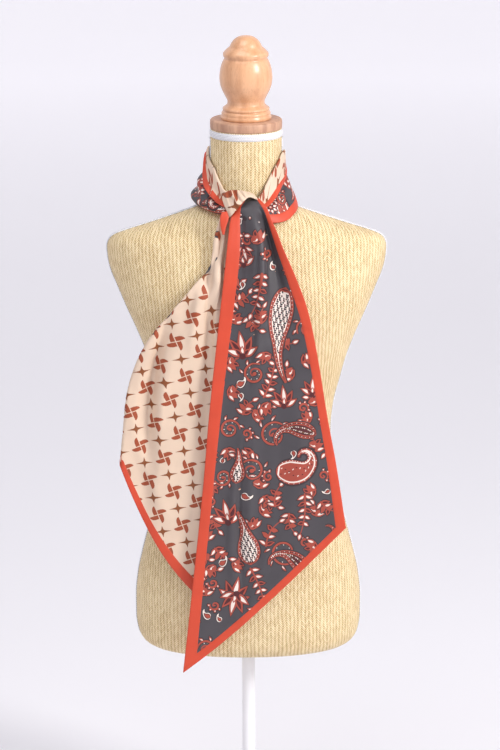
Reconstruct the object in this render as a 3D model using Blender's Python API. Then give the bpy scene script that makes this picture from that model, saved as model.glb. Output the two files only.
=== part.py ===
"""A double-sided scarf tied round the neck of a straw-covered dress form on a pole stand.

The scarf is one long band with slanted ends and a plain edging, wound once round the neck, folded
along its top like a collar and tied in a half knot. Front is -Y, up is +Z, and the origin is the
middle of the base plate's underside. Tables are in millimetres and degrees.
"""

import bisect
import math

import bmesh
import bpy
from mathutils import Matrix, Vector

MM = 0.001
GAP = 0.3

# Stand
BASE_RADIUS = 140.0
BASE_THICK = 9.0
HUB_RADIUS = 17.0
HUB_HEIGHT = 30.0
POLE_RADIUS = 9.3
SOCKET_DEPTH = 40.0
FORM_BOTTOM = 280.0

# Dress form
NECK_TOP = 739.0
NECK_TILT = 3.0
TILT_STARTS = 690.0
DISC_RADIUS = 49.6
DISC_THICK = 12.5
NECK_TRIM_WIDTH = 11.0
NECK_TRIM_THICK = 1.3
NECK_TRIM_CROWN = 0.5
NECK_TRIM_BELOW_TOP = 1.0
SIDE_TRIM_WIDTH = 10.0
SIDE_TRIM_EDGE = 0.7
FORM_SEGMENTS = 40
FINIAL_SEGMENTS = 30
POLE_SEGMENTS = 24

# Scarf
SCARF_WIDTH = 220.0
EDGING = 12.5
FLAP_EDGING = 8.5
TAIL_WALL = 1.5
LOOP_WALL = 1.2
FOLD_RADIUS = 1.8
FOLD_OPENS = 2.5
LOOP_FOLD = 1.1
SEAM_BELOW_FOLD = 1.4
END_SLANT = 37.0
FRONT_SIDES = (703.0, 510.0)
BACK_SIDES = (390.0, 590.0)

# Height above the form's bottom, half width, depth in front of the axis and behind it, fullness
FORM_SECTIONS = (
    (0, 126, 72, 80, 2.2),
    (4, 139, 82, 90, 2.2),
    (11, 149, 90, 98, 2.2),
    (22, 155, 95, 103, 2.2),
    (45, 158.5, 98, 106, 2.2),
    (75, 158.5, 98, 107, 2.2),
    (107, 155.5, 96, 105, 2.2),
    (142, 148, 92, 99, 2.2),
    (180, 138, 88, 91, 2.2),
    (225, 126, 83, 80, 2.15),
    (270, 118.5, 79, 71, 2.1),
    (317, 116.5, 78, 67, 2.1),
    (352, 120, 81, 68, 2.1),
    (386, 128.5, 87, 71, 2.15),
    (420, 138, 94, 75, 2.2),
    (454, 151, 100, 79, 2.2),
    (488, 166, 102, 83, 2.15),
    (522, 180, 99, 85, 2.1),
    (545, 189, 94, 85, 2.0),
    (562, 192.6, 89, 83, 2.0),
    (576, 193.5, 84, 80, 2.0),
    (585, 191, 81, 78, 2.0),
    (592, 183.5, 78, 76, 2.0),
    (598, 168, 74, 72, 2.0),
    (604, 149, 70.5, 68, 2.0),
    (611, 127, 66, 64, 2.0),
    (618, 106, 61.5, 60, 2.0),
    (625, 85.5, 57.5, 56.5, 2.0),
    (631, 69, 54, 54, 2.0),
    (638, 58, 51.5, 52, 2.0),
    (648, 51.8, 49.8, 50.2, 2.0),
    (665, 49.4, 49.1, 49.3, 2.0),
    (700, 49, 49, 49, 2.0),
    (739, 49, 49, 49, 2.0),
)

# Edge rounding of the turned pieces
DISC_LOWER_EDGE, DISC_UPPER_EDGE = 0.8, 1.2
POLE_EDGE = 0.8

# Height above the finial's foot, radius
FINIAL_PROFILE = (
    (0.3, 34.4),
    (2.2, 35.1),
    (5.2, 34.6),
    (6.4, 33.6),
    (8.0, 34.0),
    (10.6, 33.0),
    (12.2, 30.8),
    (13.4, 32.2),
    (15.2, 32.3),
    (18.6, 28.4),
    (21.6, 25.8),
    (25.0, 25.6),
    (29.0, 27.2),
    (35.0, 30.2),
    (42.0, 33.5),
    (49.5, 35.7),
    (57.5, 36.4),
    (66.0, 35.7),
    (74.0, 34.0),
    (81.0, 31.2),
    (84.6, 29.4),
    (87.0, 31.1),
    (90.2, 31.4),
    (95.0, 27.9),
    (98.6, 23.9),
    (99.4, 22.8),
    (105.0, 19.8),
    (110.4, 15.2),
    (114.0, 8.6),
    (115.5, 0.0),
)

# Height above the floor and radius of the base plate, its hub and the pole's socket
BASE_PROFILE = (
    (0.0, BASE_RADIUS - 2),
    (2.0, BASE_RADIUS),
    (BASE_THICK - 3, BASE_RADIUS),
    (BASE_THICK, BASE_RADIUS - 4),
    (BASE_THICK + 3, HUB_RADIUS + 12),
    (BASE_THICK + 6, HUB_RADIUS),
    (HUB_HEIGHT - 2, HUB_RADIUS),
    (HUB_HEIGHT, HUB_RADIUS - 2),
    (HUB_HEIGHT, POLE_RADIUS + GAP),
    (BASE_THICK, POLE_RADIUS + GAP),
)

# Height above the form's bottom, thickness of the side trim
SIDE_TRIM = ((4, 1.6), (560, 1.6), (590, 2.6), (622, 2.6), (640, 1.2), (724, 0.9))

# The section of the neck loop at each azimuth, anticlockwise seen from above: 0 is the front, 90
# the wearer's left, 180 the back. Each pair is a radius and a height above the form's bottom: the
# top fold, the flap's edge, the body behind that edge, its upper roll, the crease below it, the
# lower roll, the cloth under that, and the hem
LOOP_SECTIONS = (
    (16, 61, 650, 76, 636.5, 70, 635.5, 73, 631.5, 74.5, 629, 75.5, 626, 76.3, 623, 77, 619),
    (24, 55.8, 659, 72.5, 640, 65.5, 638.5, 70, 634.5, 72.5, 631, 74.5, 627, 76, 622, 77, 617.5),
    (34, 52.8, 671.5, 66.8, 646, 60.5, 645, 66.5, 640, 70, 634.5, 73, 629, 76, 623, 78.4, 617.4),
    (45, 52.2, 685, 61.5, 653, 56.5, 654, 63, 648, 66.5, 641.5, 70.5, 634, 75, 626, 78.4, 619),
    (58, 52.2, 697, 57.5, 660.5, 53.4, 658.5, 60.5, 652, 64.2, 647, 69, 640.5, 74, 633, 77.4, 626),
    (72, 52.3, 706.5, 56.3, 666.5, 52.8, 664, 59.3, 656.5, 63, 651, 67.5, 645, 71.5, 638, 74, 631.2),
    (90, 52.6, 708.5, 55.6, 679.5, 52.6, 681, 58.5, 665, 61.5, 658, 64, 652, 66.5, 645, 68, 638.5),
    (110, 52.4, 704, 55.8, 684, 52.4, 684, 56, 672, 59, 665, 61.5, 657, 63.5, 650, 64, 643),
    (140, 52.2, 703, 56.5, 687, 52.4, 686, 56, 675, 58.5, 668, 61.5, 661, 63.5, 654, 63, 647),
    (180, 52.2, 704, 57, 688, 52.4, 686, 56, 676, 59, 670, 62.5, 662, 64, 655, 62, 648),
    (220, 52.3, 706, 57.5, 691, 52.6, 686, 58, 676, 60.5, 669, 65, 660, 65.5, 650.5, 59, 649),
    (245, 52.6, 710, 58.2, 701, 53, 686, 62, 672, 64, 664, 70, 653.5, 68, 643.5, 58.5, 646.5),
    (259, 53, 712, 58, 702.5, 53.5, 684, 66, 668, 66, 658, 73, 650, 69, 640.5, 59.5, 646),
    (270, 53, 705, 59.4, 690, 54.5, 680, 68, 661.5, 68, 654, 75, 647, 70, 637.5, 60.5, 644),
    (280, 52.4, 699, 61.3, 675.5, 56.5, 673, 68.5, 656.5, 68.5, 650.5, 75, 644, 70.5, 636, 60, 643),
    (290, 52.2, 694, 62.6, 663.5, 58, 662, 68, 653, 69, 647.5, 73.8, 641, 70, 634.5, 60, 642),
    (302, 52.2, 687.5, 63.8, 655.5, 60, 655, 67, 649, 69, 644.5, 73, 638.5, 70, 632.8, 60, 640.5),
    (315, 52.6, 671, 66.5, 648.5, 60, 646.5, 68, 643.5, 70.5, 640, 73.5, 636, 71, 630.8, 61.5, 638),
    (328, 57, 660, 71.2, 642.3, 64.5, 640.5, 70.5, 639, 73, 636.5, 75, 633, 73, 629, 63.5, 635.5),
    (340, 62.5, 652.5, 75.5, 638.5, 68.5, 636, 73.4, 635.5, 75, 633, 76, 630, 75, 627, 66, 632),
)

# How much of the flap's flare it has taken on when that share of its height is left
FLAP_HIP = 0.3

# Azimuths of the rings in each stretch of the loop, closer where it runs into the knot
LOOP_TURNS = {
    "right": (16, 20, 24, 29, 34, 39.5, 45, 51.5, 58, 65, 73, 82, 93, 105, 118),
    "back": (118, 131, 145, 159, 173, 187, 201, 213, 223, 233, 242),
    "left": (242, 247, 252, 256.5, 261, 267, 273, 280, 288, 297, 305, 312, 319, 325, 330, 335, 340),
}

# Cloth lines across the front tail, as shares of its width: edge, edging, hollow, crest, pocket,
# edging, edge
FRONT_LINES = (0.0, 0.082, 0.20, 0.38, 0.64, 0.943, 1.0)

# Share of the tail's length, left x and z, right x and z, how far proud of the axis the tail
# hangs, where the five inner lines lie across it, and each line's offset from that depth
FRONT_STATIONS = (
    (0.000, -0.5, 931, 9, 931.7, 62, 0.06, 0.2, 0.35, 0.48, 0.60, 0, 0, 0, 0, 0, 0, 0),
    (0.020, -3.5, 928.5, 16.5, 931, 70, 0.11, 0.25, 0.45, 0.68, 0.82, -0.5, 0, 0, 0.5, 0, -1, -2),
    (0.040, -10, 924, 22.5, 927.5, 79.5, 0.15, 0.29, 0.50, 0.70, 0.83, -1.5, 0, 1, 1, -1, -1, -1),
    (0.060, -15.5, 920, 27, 922.5, 85.5, 0.19, 0.33, 0.53, 0.74, 0.86, -2.5, 0, 1, 2, -2, -1, 0),
    (0.080, -18, 914, 30.3, 916, 88.7, 0.21, 0.36, 0.56, 0.78, 0.88, -4, -1, 2, 4, -4, -1, 0),
    (0.105, -21.5, 906.5, 33.5, 907.5, 92, 0.235, 0.38, 0.60, 0.80, 0.885, -2, -3, 3, 8, -7, -1, 1),
    (0.150, -24.4, 888, 41, 891, 97.5, 0.25, 0.39, 0.60, 0.80, 0.885, 0, -3, 3, 11, -10, -1, 3),
    (0.200, -27.8, 857, 50, 868, 103.5, 0.24, 0.37, 0.58, 0.79, 0.885, 1, -2, 3, 12, -10, -1, 4),
    (0.280, -35, 795, 67, 829, 110, 0.19, 0.32, 0.52, 0.76, 0.885, 1, -1, 2, 9, -7, 0, 3),
    (0.380, -43, 725, 84, 780, 113, 0.145, 0.27, 0.46, 0.70, 0.905, 1, 0, 1, 5, -3, 0, 1),
    (0.500, -52.5, 637, 98, 709, 114, 0.115, 0.23, 0.42, 0.66, 0.925, 1, 0, 0, 2, -1, 0, 0),
    (0.620, -60.5, 546, 108, 645, 114, 0.09, 0.20, 0.38, 0.64, 0.937, 1, 0, -1, 0, 1, 0, 0),
    (0.800, -75.5, 408, 122, 567, 114, 0.082, 0.20, 0.38, 0.64, 0.943, 1, 0, -1, 0, 2, 1, 0),
    (1.000, -91, 272, 135.2, 479.7, 114, 0.082, 0.20, 0.38, 0.64, 0.943, 1, 0, 0, 0, 1, 1, 0),
)

# The share of the cloth's width that a quarter turn round a fold takes up
FOLD_SHARE = FOLD_RADIUS * math.pi / 2 / SCARF_WIDTH
PAST_FOLD = 0.06

# Cloth lines across the back tail: the turned-under edge, its edging, the fold that shows, the
# side valley, the lobe, the inner valley, the tube beside it, the edging and the right edge
BACK_LINES = (-0.12, -0.063, 0.0, 0.16, 0.32, 0.68, 0.83, 0.943, 1.0)

# Share of the tail's length, left x and z, right x and z, how far proud of the axis the left and
# the right hang, where the side valley, lobe, inner valley and tube lie across it, the offsets of
# those four lines, and how far the turned-under edge reaches
BACK_STATIONS = (
    (0.00, -31, 916, -15, 907.5, 77.5, 81, 0.20, 0.36, 0.62, 0.80, 0, 1, -1, 1, 5),
    (0.05, -37, 904, -14, 889, 82, 85.5, 0.20, 0.36, 0.60, 0.80, -2, 2, -3, 2, 8),
    (0.12, -41, 881, -14, 857, 87, 90, 0.20, 0.34, 0.56, 0.78, -2, 3, -3, 2, 12),
    (0.22, -51, 843, -15, 803, 96.5, 102.5, 0.16, 0.30, 0.50, 0.76, -2, 3, -3, 2, 16),
    (0.32, -74, 815, -17, 748, 102, 106, 0.10, 0.26, 0.52, 0.74, -2, 3, -4, 2, 20),
    (0.42, -100, 785, -19, 693, 101, 107, 0.09, 0.24, 0.62, 0.78, -4, 3, -5, 2, 22),
    (0.52, -126, 753, -21, 637, 97, 107, 0.12, 0.26, 0.70, 0.84, -7, 3, -4, 1, 22),
    (0.64, -152, 709, -22, 570, 93, 107, 0.17, 0.30, 0.70, 0.84, -9, 3, -2, 0, 22),
    (0.76, -164.5, 670, -22, 503, 91, 107, 0.19, 0.33, 0.69, 0.83, -8, 3, 0, 0, 22),
    (0.88, -171, 615, -20, 428, 91, 107, 0.18, 0.32, 0.68, 0.83, -5, 2, 0, 0, 20),
    (1.00, -176.5, 565, -15, 332, 92, 106, 0.16, 0.32, 0.68, 0.83, -2, 1, 0, 0, 14),
)

# Where the edging of the back tail's right side starts across it, as it is seen
BACK_EDGING_AT = 0.93

# How far each tail's slanted end bows down where the cloth fans out, and towards which side
FRONT_BOW, FRONT_BOW_LEAN = 8.0, 0.5
BACK_BOW, BACK_BOW_LEAN = 42.0, 0.4

# The knot wrap at each share of the way from the left to the right: the x, y and z of its top
# edge, of its belly and of its bottom edge, and the depth of its pleats
KNOT_STATIONS = (
    (0.00, -33.8, -60, 936.3, -31, -72, 926, -25.2, -80.5, 914.5, 0.0),
    (0.20, -27.7, -64, 940.4, -25.8, -79, 926.5, -23.2, -85.5, 908.5, 0.4),
    (0.45, -18.1, -66, 942.5, -15.8, -84.5, 932, -13.2, -90.3, 919.3, 1.6),
    (0.70, -7.3, -66, 941.7, -4.5, -81, 937, -2.8, -86.5, 931.2, 1.3),
    (0.87, 0.9, -63, 939.6, 2.4, -75, 938, 4, -79.5, 934.8, 0.8),
    (1.00, 9.0, -57, 936.1, 12, -67, 934.5, 15.6, -75.5, 930.8, 0.0),
)
KNOT_PLEATS = 5.0
PLEAT_SLANT = 0.22
PLEAT_FADES = 0.7

# Numbers of cells across and along the knot's two pieces and the tails
KNOT_CELLS = (22, 7)
TWIST_CELLS = (2, 5)
FRONT_CELLS = (13, 26)
BACK_CELLS = (14, 22)

# How far the twisted edging bulges between its sides
TWIST_BELLY = 0.5

# The edging that twists into view where the back tail leaves the knot: share of its length, x of
# its left and right, z, and how far proud of the axis
TWIST_STATIONS = (
    (0.0, -33, -26, 916, 84.5),
    (0.35, -35.8, -23.9, 908, 88.5),
    (0.7, -35.2, -27.3, 897, 91.5),
    (1.0, -32.4, -29.8, 886, 94),
)


def curve(keys, values):
    """A smooth function through the values at the keys that doesn't overshoot them."""
    steps = [
        (values[i + 1] - values[i]) / (keys[i + 1] - keys[i]) for i in range(len(keys) - 1)
    ]
    inner = [0.0 if a * b <= 0 else 2 * a * b / (a + b) for a, b in zip(steps, steps[1:])]
    slopes = [steps[0]] + inner + [steps[-1]]

    def at(key):
        i = min(max(bisect.bisect_right(keys, key), 1), len(keys) - 1) - 1
        span = keys[i + 1] - keys[i]
        f = (key - keys[i]) / span
        if f < 0 or f > 1:
            end = 0 if f < 0 else 1
            return values[i + end] + slopes[i + end] * (f - end) * span
        g = 1 - f
        return (
            values[i] * (1 + 2 * f) * g * g
            + values[i + 1] * (1 + 2 * g) * f * f
            + span * f * g * (slopes[i] * g - slopes[i + 1] * f)
        )

    return at


def columns(rows):
    """A curve for each column of a table, keyed by its first column."""
    keys = [row[0] for row in rows]
    return [curve(keys, [row[i] for row in rows]) for i in range(1, len(rows[0]))]


def steps_between(start, end, count):
    return [start + (end - start) * i / count for i in range(count + 1)]


def material(name, colour, roughness, metallic=0.0):
    made = bpy.data.materials.new(name)
    made.use_nodes = True
    shader = made.node_tree.nodes["Principled BSDF"]
    shader.inputs["Base Color"].default_value = (*colour, 1.0)
    shader.inputs["Roughness"].default_value = roughness
    shader.inputs["Metallic"].default_value = metallic
    made.diffuse_color = (*colour, 1.0)
    return made


def add_object(name, mesh_data, finish, sharp_angle=50.0):
    """An object from a bmesh, its faces turned outward and shaded smooth."""
    bmesh.ops.recalc_face_normals(mesh_data, faces=mesh_data.faces)
    mesh = bpy.data.meshes.new(name)
    mesh_data.to_mesh(mesh)
    mesh_data.free()
    mesh.materials.append(finish)
    mesh.shade_smooth()
    mesh.set_sharp_from_angle(angle=math.radians(sharp_angle))
    made = bpy.data.objects.new(name, mesh)
    bpy.context.scene.collection.objects.link(made)
    return made


def bridge(mesh_data, ring, following):
    """Four-sided faces between two rings of the same number of points."""
    for i in range(len(ring)):
        j = (i + 1) % len(ring)
        mesh_data.faces.new((ring[i], ring[j], following[j], following[i]))


def turned(name, profile, segments, finish):
    """A solid turned about Z from (height, radius) pairs, closed at both ends."""
    mesh_data = bmesh.new()
    rings = []
    for height, radius in profile:
        if radius <= 0:
            rings.append([mesh_data.verts.new((0, 0, height * MM))])
            continue
        turn = [2 * math.pi * i / segments for i in range(segments)]
        rings.append(
            [
                mesh_data.verts.new(
                    (radius * math.cos(a) * MM, radius * math.sin(a) * MM, height * MM)
                )
                for a in turn
            ]
        )
    for ring, following in zip(rings, rings[1:]):
        if len(following) == 1:
            for i in range(segments):
                mesh_data.faces.new((ring[i], ring[(i + 1) % segments], following[0]))
        else:
            bridge(mesh_data, ring, following)
    for end in (rings[0], rings[-1]):
        if len(end) > 1:
            mesh_data.faces.new(end)
    return add_object(name, mesh_data, finish)


HALF_WIDTH, FRONT_DEPTH, BACK_DEPTH, FULLNESS = columns(FORM_SECTIONS)


def signed_power(value, power):
    return math.copysign(abs(value) ** power, value)


def neck_slope(height):
    """How much of the neck's tilt has set in at a height, from 0 to 1."""
    f = min(max((height - TILT_STARTS) / (NECK_TOP - TILT_STARTS), 0), 1)
    return f * f * (3 - 2 * f)


def form_point(height, angle):
    """A point of the dress form in millimetres: the angle runs from +X towards the back."""
    power = 2 / FULLNESS(height)
    depth = BACK_DEPTH(height) if math.sin(angle) > 0 else FRONT_DEPTH(height)
    x = HALF_WIDTH(height) * signed_power(math.cos(angle), power)
    y = depth * signed_power(math.sin(angle), power)
    rise = y * math.tan(math.radians(NECK_TILT)) * neck_slope(height)
    return Vector((x, y, FORM_BOTTOM + height + rise))


def form_normal(height, angle):
    """Which way the form's surface faces at a point."""
    turn, climb = 0.01, 0.5
    across = form_point(height, angle + turn) - form_point(height, angle - turn)
    up = form_point(height + climb, angle) - form_point(height - climb, angle)
    return across.cross(up).normalized()


def form_body(finish):
    """The padded body, with the pole's socket in its underside."""
    mesh_data = bmesh.new()
    turn = [2 * math.pi * i / FORM_SEGMENTS for i in range(FORM_SEGMENTS)]
    rings = [
        [mesh_data.verts.new(form_point(row[0], a) * MM) for a in turn] for row in FORM_SECTIONS
    ]
    for ring, following in zip(rings, rings[1:]):
        bridge(mesh_data, ring, following)
    mesh_data.faces.new(rings[-1])
    socket_radius = POLE_RADIUS + GAP
    socket = [
        [
            mesh_data.verts.new(
                (
                    socket_radius * math.cos(a) * MM,
                    socket_radius * math.sin(a) * MM,
                    (FORM_BOTTOM + depth) * MM,
                )
            )
            for a in turn
        ]
        for depth in (0, SOCKET_DEPTH)
    ]
    bridge(mesh_data, rings[0], socket[0])
    bridge(mesh_data, socket[0], socket[1])
    mesh_data.faces.new(socket[1])
    return add_object("form_body", mesh_data, finish)


def band(name, rings, finish, closed=False):
    """A solid swept through four-sided or wider rings, capped unless it closes on itself."""
    mesh_data = bmesh.new()
    made = [[mesh_data.verts.new(point * MM) for point in ring] for ring in rings]
    for ring, following in zip(made, made[1:]):
        bridge(mesh_data, ring, following)
    if closed:
        bridge(mesh_data, made[-1], made[0])
    else:
        mesh_data.faces.new(made[0])
        mesh_data.faces.new(made[-1])
    return add_object(name, mesh_data, finish)


def neck_trim(finish):
    rings = []
    for i in range(FORM_SEGMENTS):
        angle = 2 * math.pi * i / FORM_SEGMENTS
        outward = Vector((math.cos(angle), math.sin(angle), 0))
        low = form_point(NECK_TOP - NECK_TRIM_WIDTH, angle)
        high = form_point(NECK_TOP - NECK_TRIM_BELOW_TOP, angle)
        near, far = outward * GAP, outward * (GAP + NECK_TRIM_THICK)
        crown = outward * (GAP + NECK_TRIM_THICK + NECK_TRIM_CROWN)
        rings.append([low + near, low + far, (low + high) / 2 + crown, high + far, high + near])
    return band("neck_trim", rings, finish, closed=True)


def side_trim(name, side_angle, finish):
    """The white tape over one side seam, from the neck trim over the shoulder to the bottom."""
    thickness = columns(SIDE_TRIM)[0]
    lowest, highest = SIDE_TRIM[0][0], NECK_TOP - NECK_TRIM_WIDTH - 2
    heights = [row[0] for row in FORM_SECTIONS if lowest <= row[0] < highest - 2]
    rings = []
    turn = 0.02
    edge = SIDE_TRIM_EDGE
    for height in heights + [highest]:
        reach = (
            form_point(height, side_angle + turn) - form_point(height, side_angle - turn)
        ).length / (2 * turn)
        half = SIDE_TRIM_WIDTH / 2 / reach
        ring = []
        for share, lift in ((-1, 0), (-1, edge), (0, 1), (1, edge), (1, 0), (0, 0)):
            angle = side_angle + share * half
            away = GAP + lift * thickness(height)
            ring.append(form_point(height, angle) + form_normal(height, angle) * away)
        rings.append(ring)
    return band(name, rings, finish)


def sheet_normal(surface, across, along, step):
    """Which way a sheet faces, from its neighbouring points."""
    side = surface(across + step, along) - surface(across - step, along)
    down = surface(across, along + step) - surface(across, along - step)
    return side.cross(down).normalized()


def wall(name, surface, across, along, thickness, finish, keep=None, step=0.004, seams=({}, {})):
    """A wall of cloth on a grid of the surface, half its thickness to each side.

    keep says which cells belong to it, by column and row. seams gives the columns and the rows
    that stand back from a seam, each with its direction and how many half gaps it stands back.
    """
    mesh_data = bmesh.new()
    cells = [
        (i, j)
        for j in range(len(along) - 1)
        for i in range(len(across) - 1)
        if keep is None or keep(i, j)
    ]
    corners = {}

    def stand_back(place, index, seam, key):
        """Half a gap from the seam, in the surface's own measure."""
        if index not in seam:
            return 0
        moved = list(place)
        moved[key] += math.copysign(step, seam[index])
        reach = (surface(*moved) - surface(*place)).length / step
        return seam[index] * GAP / 2 / reach

    def corner(i, j):
        if (i, j) not in corners:
            seam = (across[i], along[j])
            u = across[i] + stand_back(seam, i, seams[0], 0)
            v = along[j] + stand_back(seam, j, seams[1], 1)
            place = surface(u, v)
            away = sheet_normal(surface, u, v, step) * thickness / 2
            corners[i, j] = (
                mesh_data.verts.new((place + away) * MM),
                mesh_data.verts.new((place - away) * MM),
            )
        return corners[i, j]

    edges = {}
    for i, j in cells:
        ring = [(i, j), (i + 1, j), (i + 1, j + 1), (i, j + 1)]
        upper = [corner(*key)[0] for key in ring]
        lower = [corner(*key)[1] for key in ring]
        for a, b, c in ((0, 1, 2), (0, 2, 3)):
            mesh_data.faces.new((upper[a], upper[b], upper[c]))
            mesh_data.faces.new((lower[c], lower[b], lower[a]))
        for a, b in zip(ring, ring[1:] + ring[:1]):
            if (b, a) in edges:
                del edges[b, a]
            else:
                edges[a, b] = True
    for a, b in edges:
        (a_up, a_down), (b_up, b_down) = corners[a], corners[b]
        if a < b:
            split = (a_up, a_down, b_down), (a_up, b_down, b_up)
        else:
            split = (a_up, a_down, b_up), (a_down, b_down, b_up)
        for face in split:
            mesh_data.faces.new(face)
    return add_object(name, mesh_data, finish, sharp_angle=60.0)


def bow(share, depth, lean):
    """How far a slanted end hangs below the straight line between its corners."""
    return depth * 4 * share * (1 - share) * (1 - lean * (2 * share - 1))


def end_rows(sides):
    """Rows 0 to 1 fill a tail's panel, and rows 1 to 2 the edging along its slanted end."""
    slant = EDGING / math.cos(math.radians(END_SLANT))

    def share(across, row):
        border = slant / (sides[0] + (sides[1] - sides[0]) * min(max(across, 0), 1))
        return row * (1 - border) if row <= 1 else 1 - border + (row - 1) * border

    return share


def front_tail_surface():
    """The front tail: (share across, row) to a point."""
    table = columns(FRONT_STATIONS)
    share = end_rows(FRONT_SIDES)

    def surface(across, row):
        along = share(across, row)
        left_x, left_z, right_x, right_z, proud, *rest = [column(along) for column in table]
        places = curve(FRONT_LINES, [0.0] + rest[:5] + [1.0])
        offsets = curve(FRONT_LINES, rest[5:])
        across_x = places(across)
        x = left_x + (right_x - left_x) * across_x
        z = left_z + (right_z - left_z) * across_x
        z -= bow(across_x, FRONT_BOW, FRONT_BOW_LEAN) * along**2
        return Vector((x, -(proud + offsets(across)), z))

    return surface


def back_tail_surface():
    """The back tail: below 0 across, its left side is turned under round a small fold."""
    table = columns(BACK_STATIONS)
    share = end_rows(BACK_SIDES)

    def surface(across, row):
        along = share(across, row)
        left_x, left_z, right_x, right_z, left_proud, right_proud, *rest = [
            column(along) for column in table
        ]
        lines = [0.0] + rest[:4] + [BACK_EDGING_AT, 1.0]
        turn = math.sin(max(min(across * SCARF_WIDTH / FOLD_RADIUS, math.pi / 2), -math.pi / 2))
        if across < 0:
            width = math.hypot(right_x - left_x, right_z - left_z)
            across_x = rest[8] / width * across / BACK_LINES[0]
        else:
            across_x = curve(BACK_LINES[2:], lines)(across)
        depth = curve(lines, [0.0] + rest[4:8] + [0.0, 0.0])(across_x)
        depth -= FOLD_RADIUS * (1 - turn) + FOLD_OPENS * min(max(across / BACK_LINES[0], 0), 1)
        x = left_x + (right_x - left_x) * across_x
        z = left_z + (right_z - left_z) * across_x
        z -= bow(across_x, BACK_BOW, BACK_BOW_LEAN) * along**2
        proud = left_proud + (right_proud - left_proud) * across_x
        return Vector((x, -(proud + depth), z))

    return surface


def through(points):
    """A smooth line through points of a plane: its two coordinates by the length walked."""
    walked = [0.0]
    for a, b in zip(points, points[1:]):
        walked.append(walked[-1] + math.hypot(b[0] - a[0], b[1] - a[1]))
    return curve(walked, [p[0] for p in points]), curve(walked, [p[1] for p in points]), walked


def loop_surface():
    """The neck loop: (row from the hem over the top fold to the flap's edge, azimuth).

    Rows 0 to 1 are the hem's edging, to 2 the body's rolls, to 3 the part that stands against the
    neck, to 4 and 5 the two sides of the fold, to 6 the flap and to 7 its edging.
    """
    table = columns(LOOP_SECTIONS)
    sections = {}

    def section(azimuth):
        key = round(azimuth, 4)
        if key not in sections:
            values = [column(azimuth) for column in table]
            fold, edge, *body = [values[i : i + 2] for i in range(0, len(values), 2)]
            leg = (fold[0] + LOOP_FOLD, fold[1] - LOOP_FOLD)
            rise = (fold[0] - LOOP_FOLD, fold[1] - LOOP_FOLD)
            stand = (fold[0] - LOOP_FOLD, (fold[1] + 2 * body[0][1]) / 3)
            hip = (
                leg[0] + FLAP_HIP * (edge[0] - leg[0]),
                edge[1] + FLAP_HIP * (leg[1] - edge[1]),
            )
            points = body[::-1] + [stand, rise, fold, leg, hip, edge]
            radius, height, walked = through(points)
            total = walked[-1]
            stand_end = walked[-5] - SEAM_BELOW_FOLD
            marks = [0, EDGING, walked[-6], stand_end, *walked[-4:-2], total - FLAP_EDGING, total]
            sections[key] = radius, height, marks
        return sections[key]

    def surface(row, azimuth):
        radius_at, height_at, marks = section(azimuth)
        i = min(max(int(row), 0), len(marks) - 2)
        place = marks[i] + (row - i) * (marks[i + 1] - marks[i])
        radius, turn = radius_at(place), math.radians(azimuth)
        return Vector(
            (radius * math.sin(turn), -radius * math.cos(turn), FORM_BOTTOM + height_at(place))
        )

    return surface


def knot_surface():
    """The gathered wrap over the knot: (share from left to right, share from top to bottom)."""
    table = columns(KNOT_STATIONS)

    def surface(across, down):
        values = [column(across) for column in table]
        top, belly, bottom = (Vector(values[i : i + 3]) for i in (0, 3, 6))
        f, g = down, 1 - down
        middle = belly * 2 - (top + bottom) / 2
        place = top * g * g + middle * 2 * f * g + bottom * f * f
        pleat = math.sin((across + PLEAT_SLANT * down) * KNOT_PLEATS * 2 * math.pi)
        place.y -= values[9] * pleat * (1 - PLEAT_FADES * down)
        return place

    return surface


def twist_surface():
    """The twisted edging: (share from left to right, share from top to bottom)."""
    table = columns(TWIST_STATIONS)

    def surface(across, down):
        left, right, z, proud = [column(down) for column in table]
        belly = 4 * TWIST_BELLY * across * (1 - across)
        return Vector((left + (right - left) * across, -(proud + belly), z))

    return surface


def build_tail(name, surface, inner, left, right, rows, finishes):
    """A tail's panel, and the edging round its two sides and its slanted end."""
    panel_finish, edging_finish = finishes
    along = steps_between(0, 1, rows)
    seams = ({0: 1, len(inner) - 1: -1}, {rows: -1})
    wall(name, surface, inner, along, TAIL_WALL, panel_finish, seams=seams)
    across = [left, (left + inner[0]) / 2] + inner + [(inner[-1] + right) / 2, right]
    last = len(across) - 1

    def keep(i, j):
        return i < 2 or i >= last - 2 or j >= rows

    seams = ({2: -1, last - 2: 1}, {rows: 1})
    along += [1.5, 2.0]
    wall(name + "_edging", surface, across, along, TAIL_WALL, edging_finish, keep, seams=seams)


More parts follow.
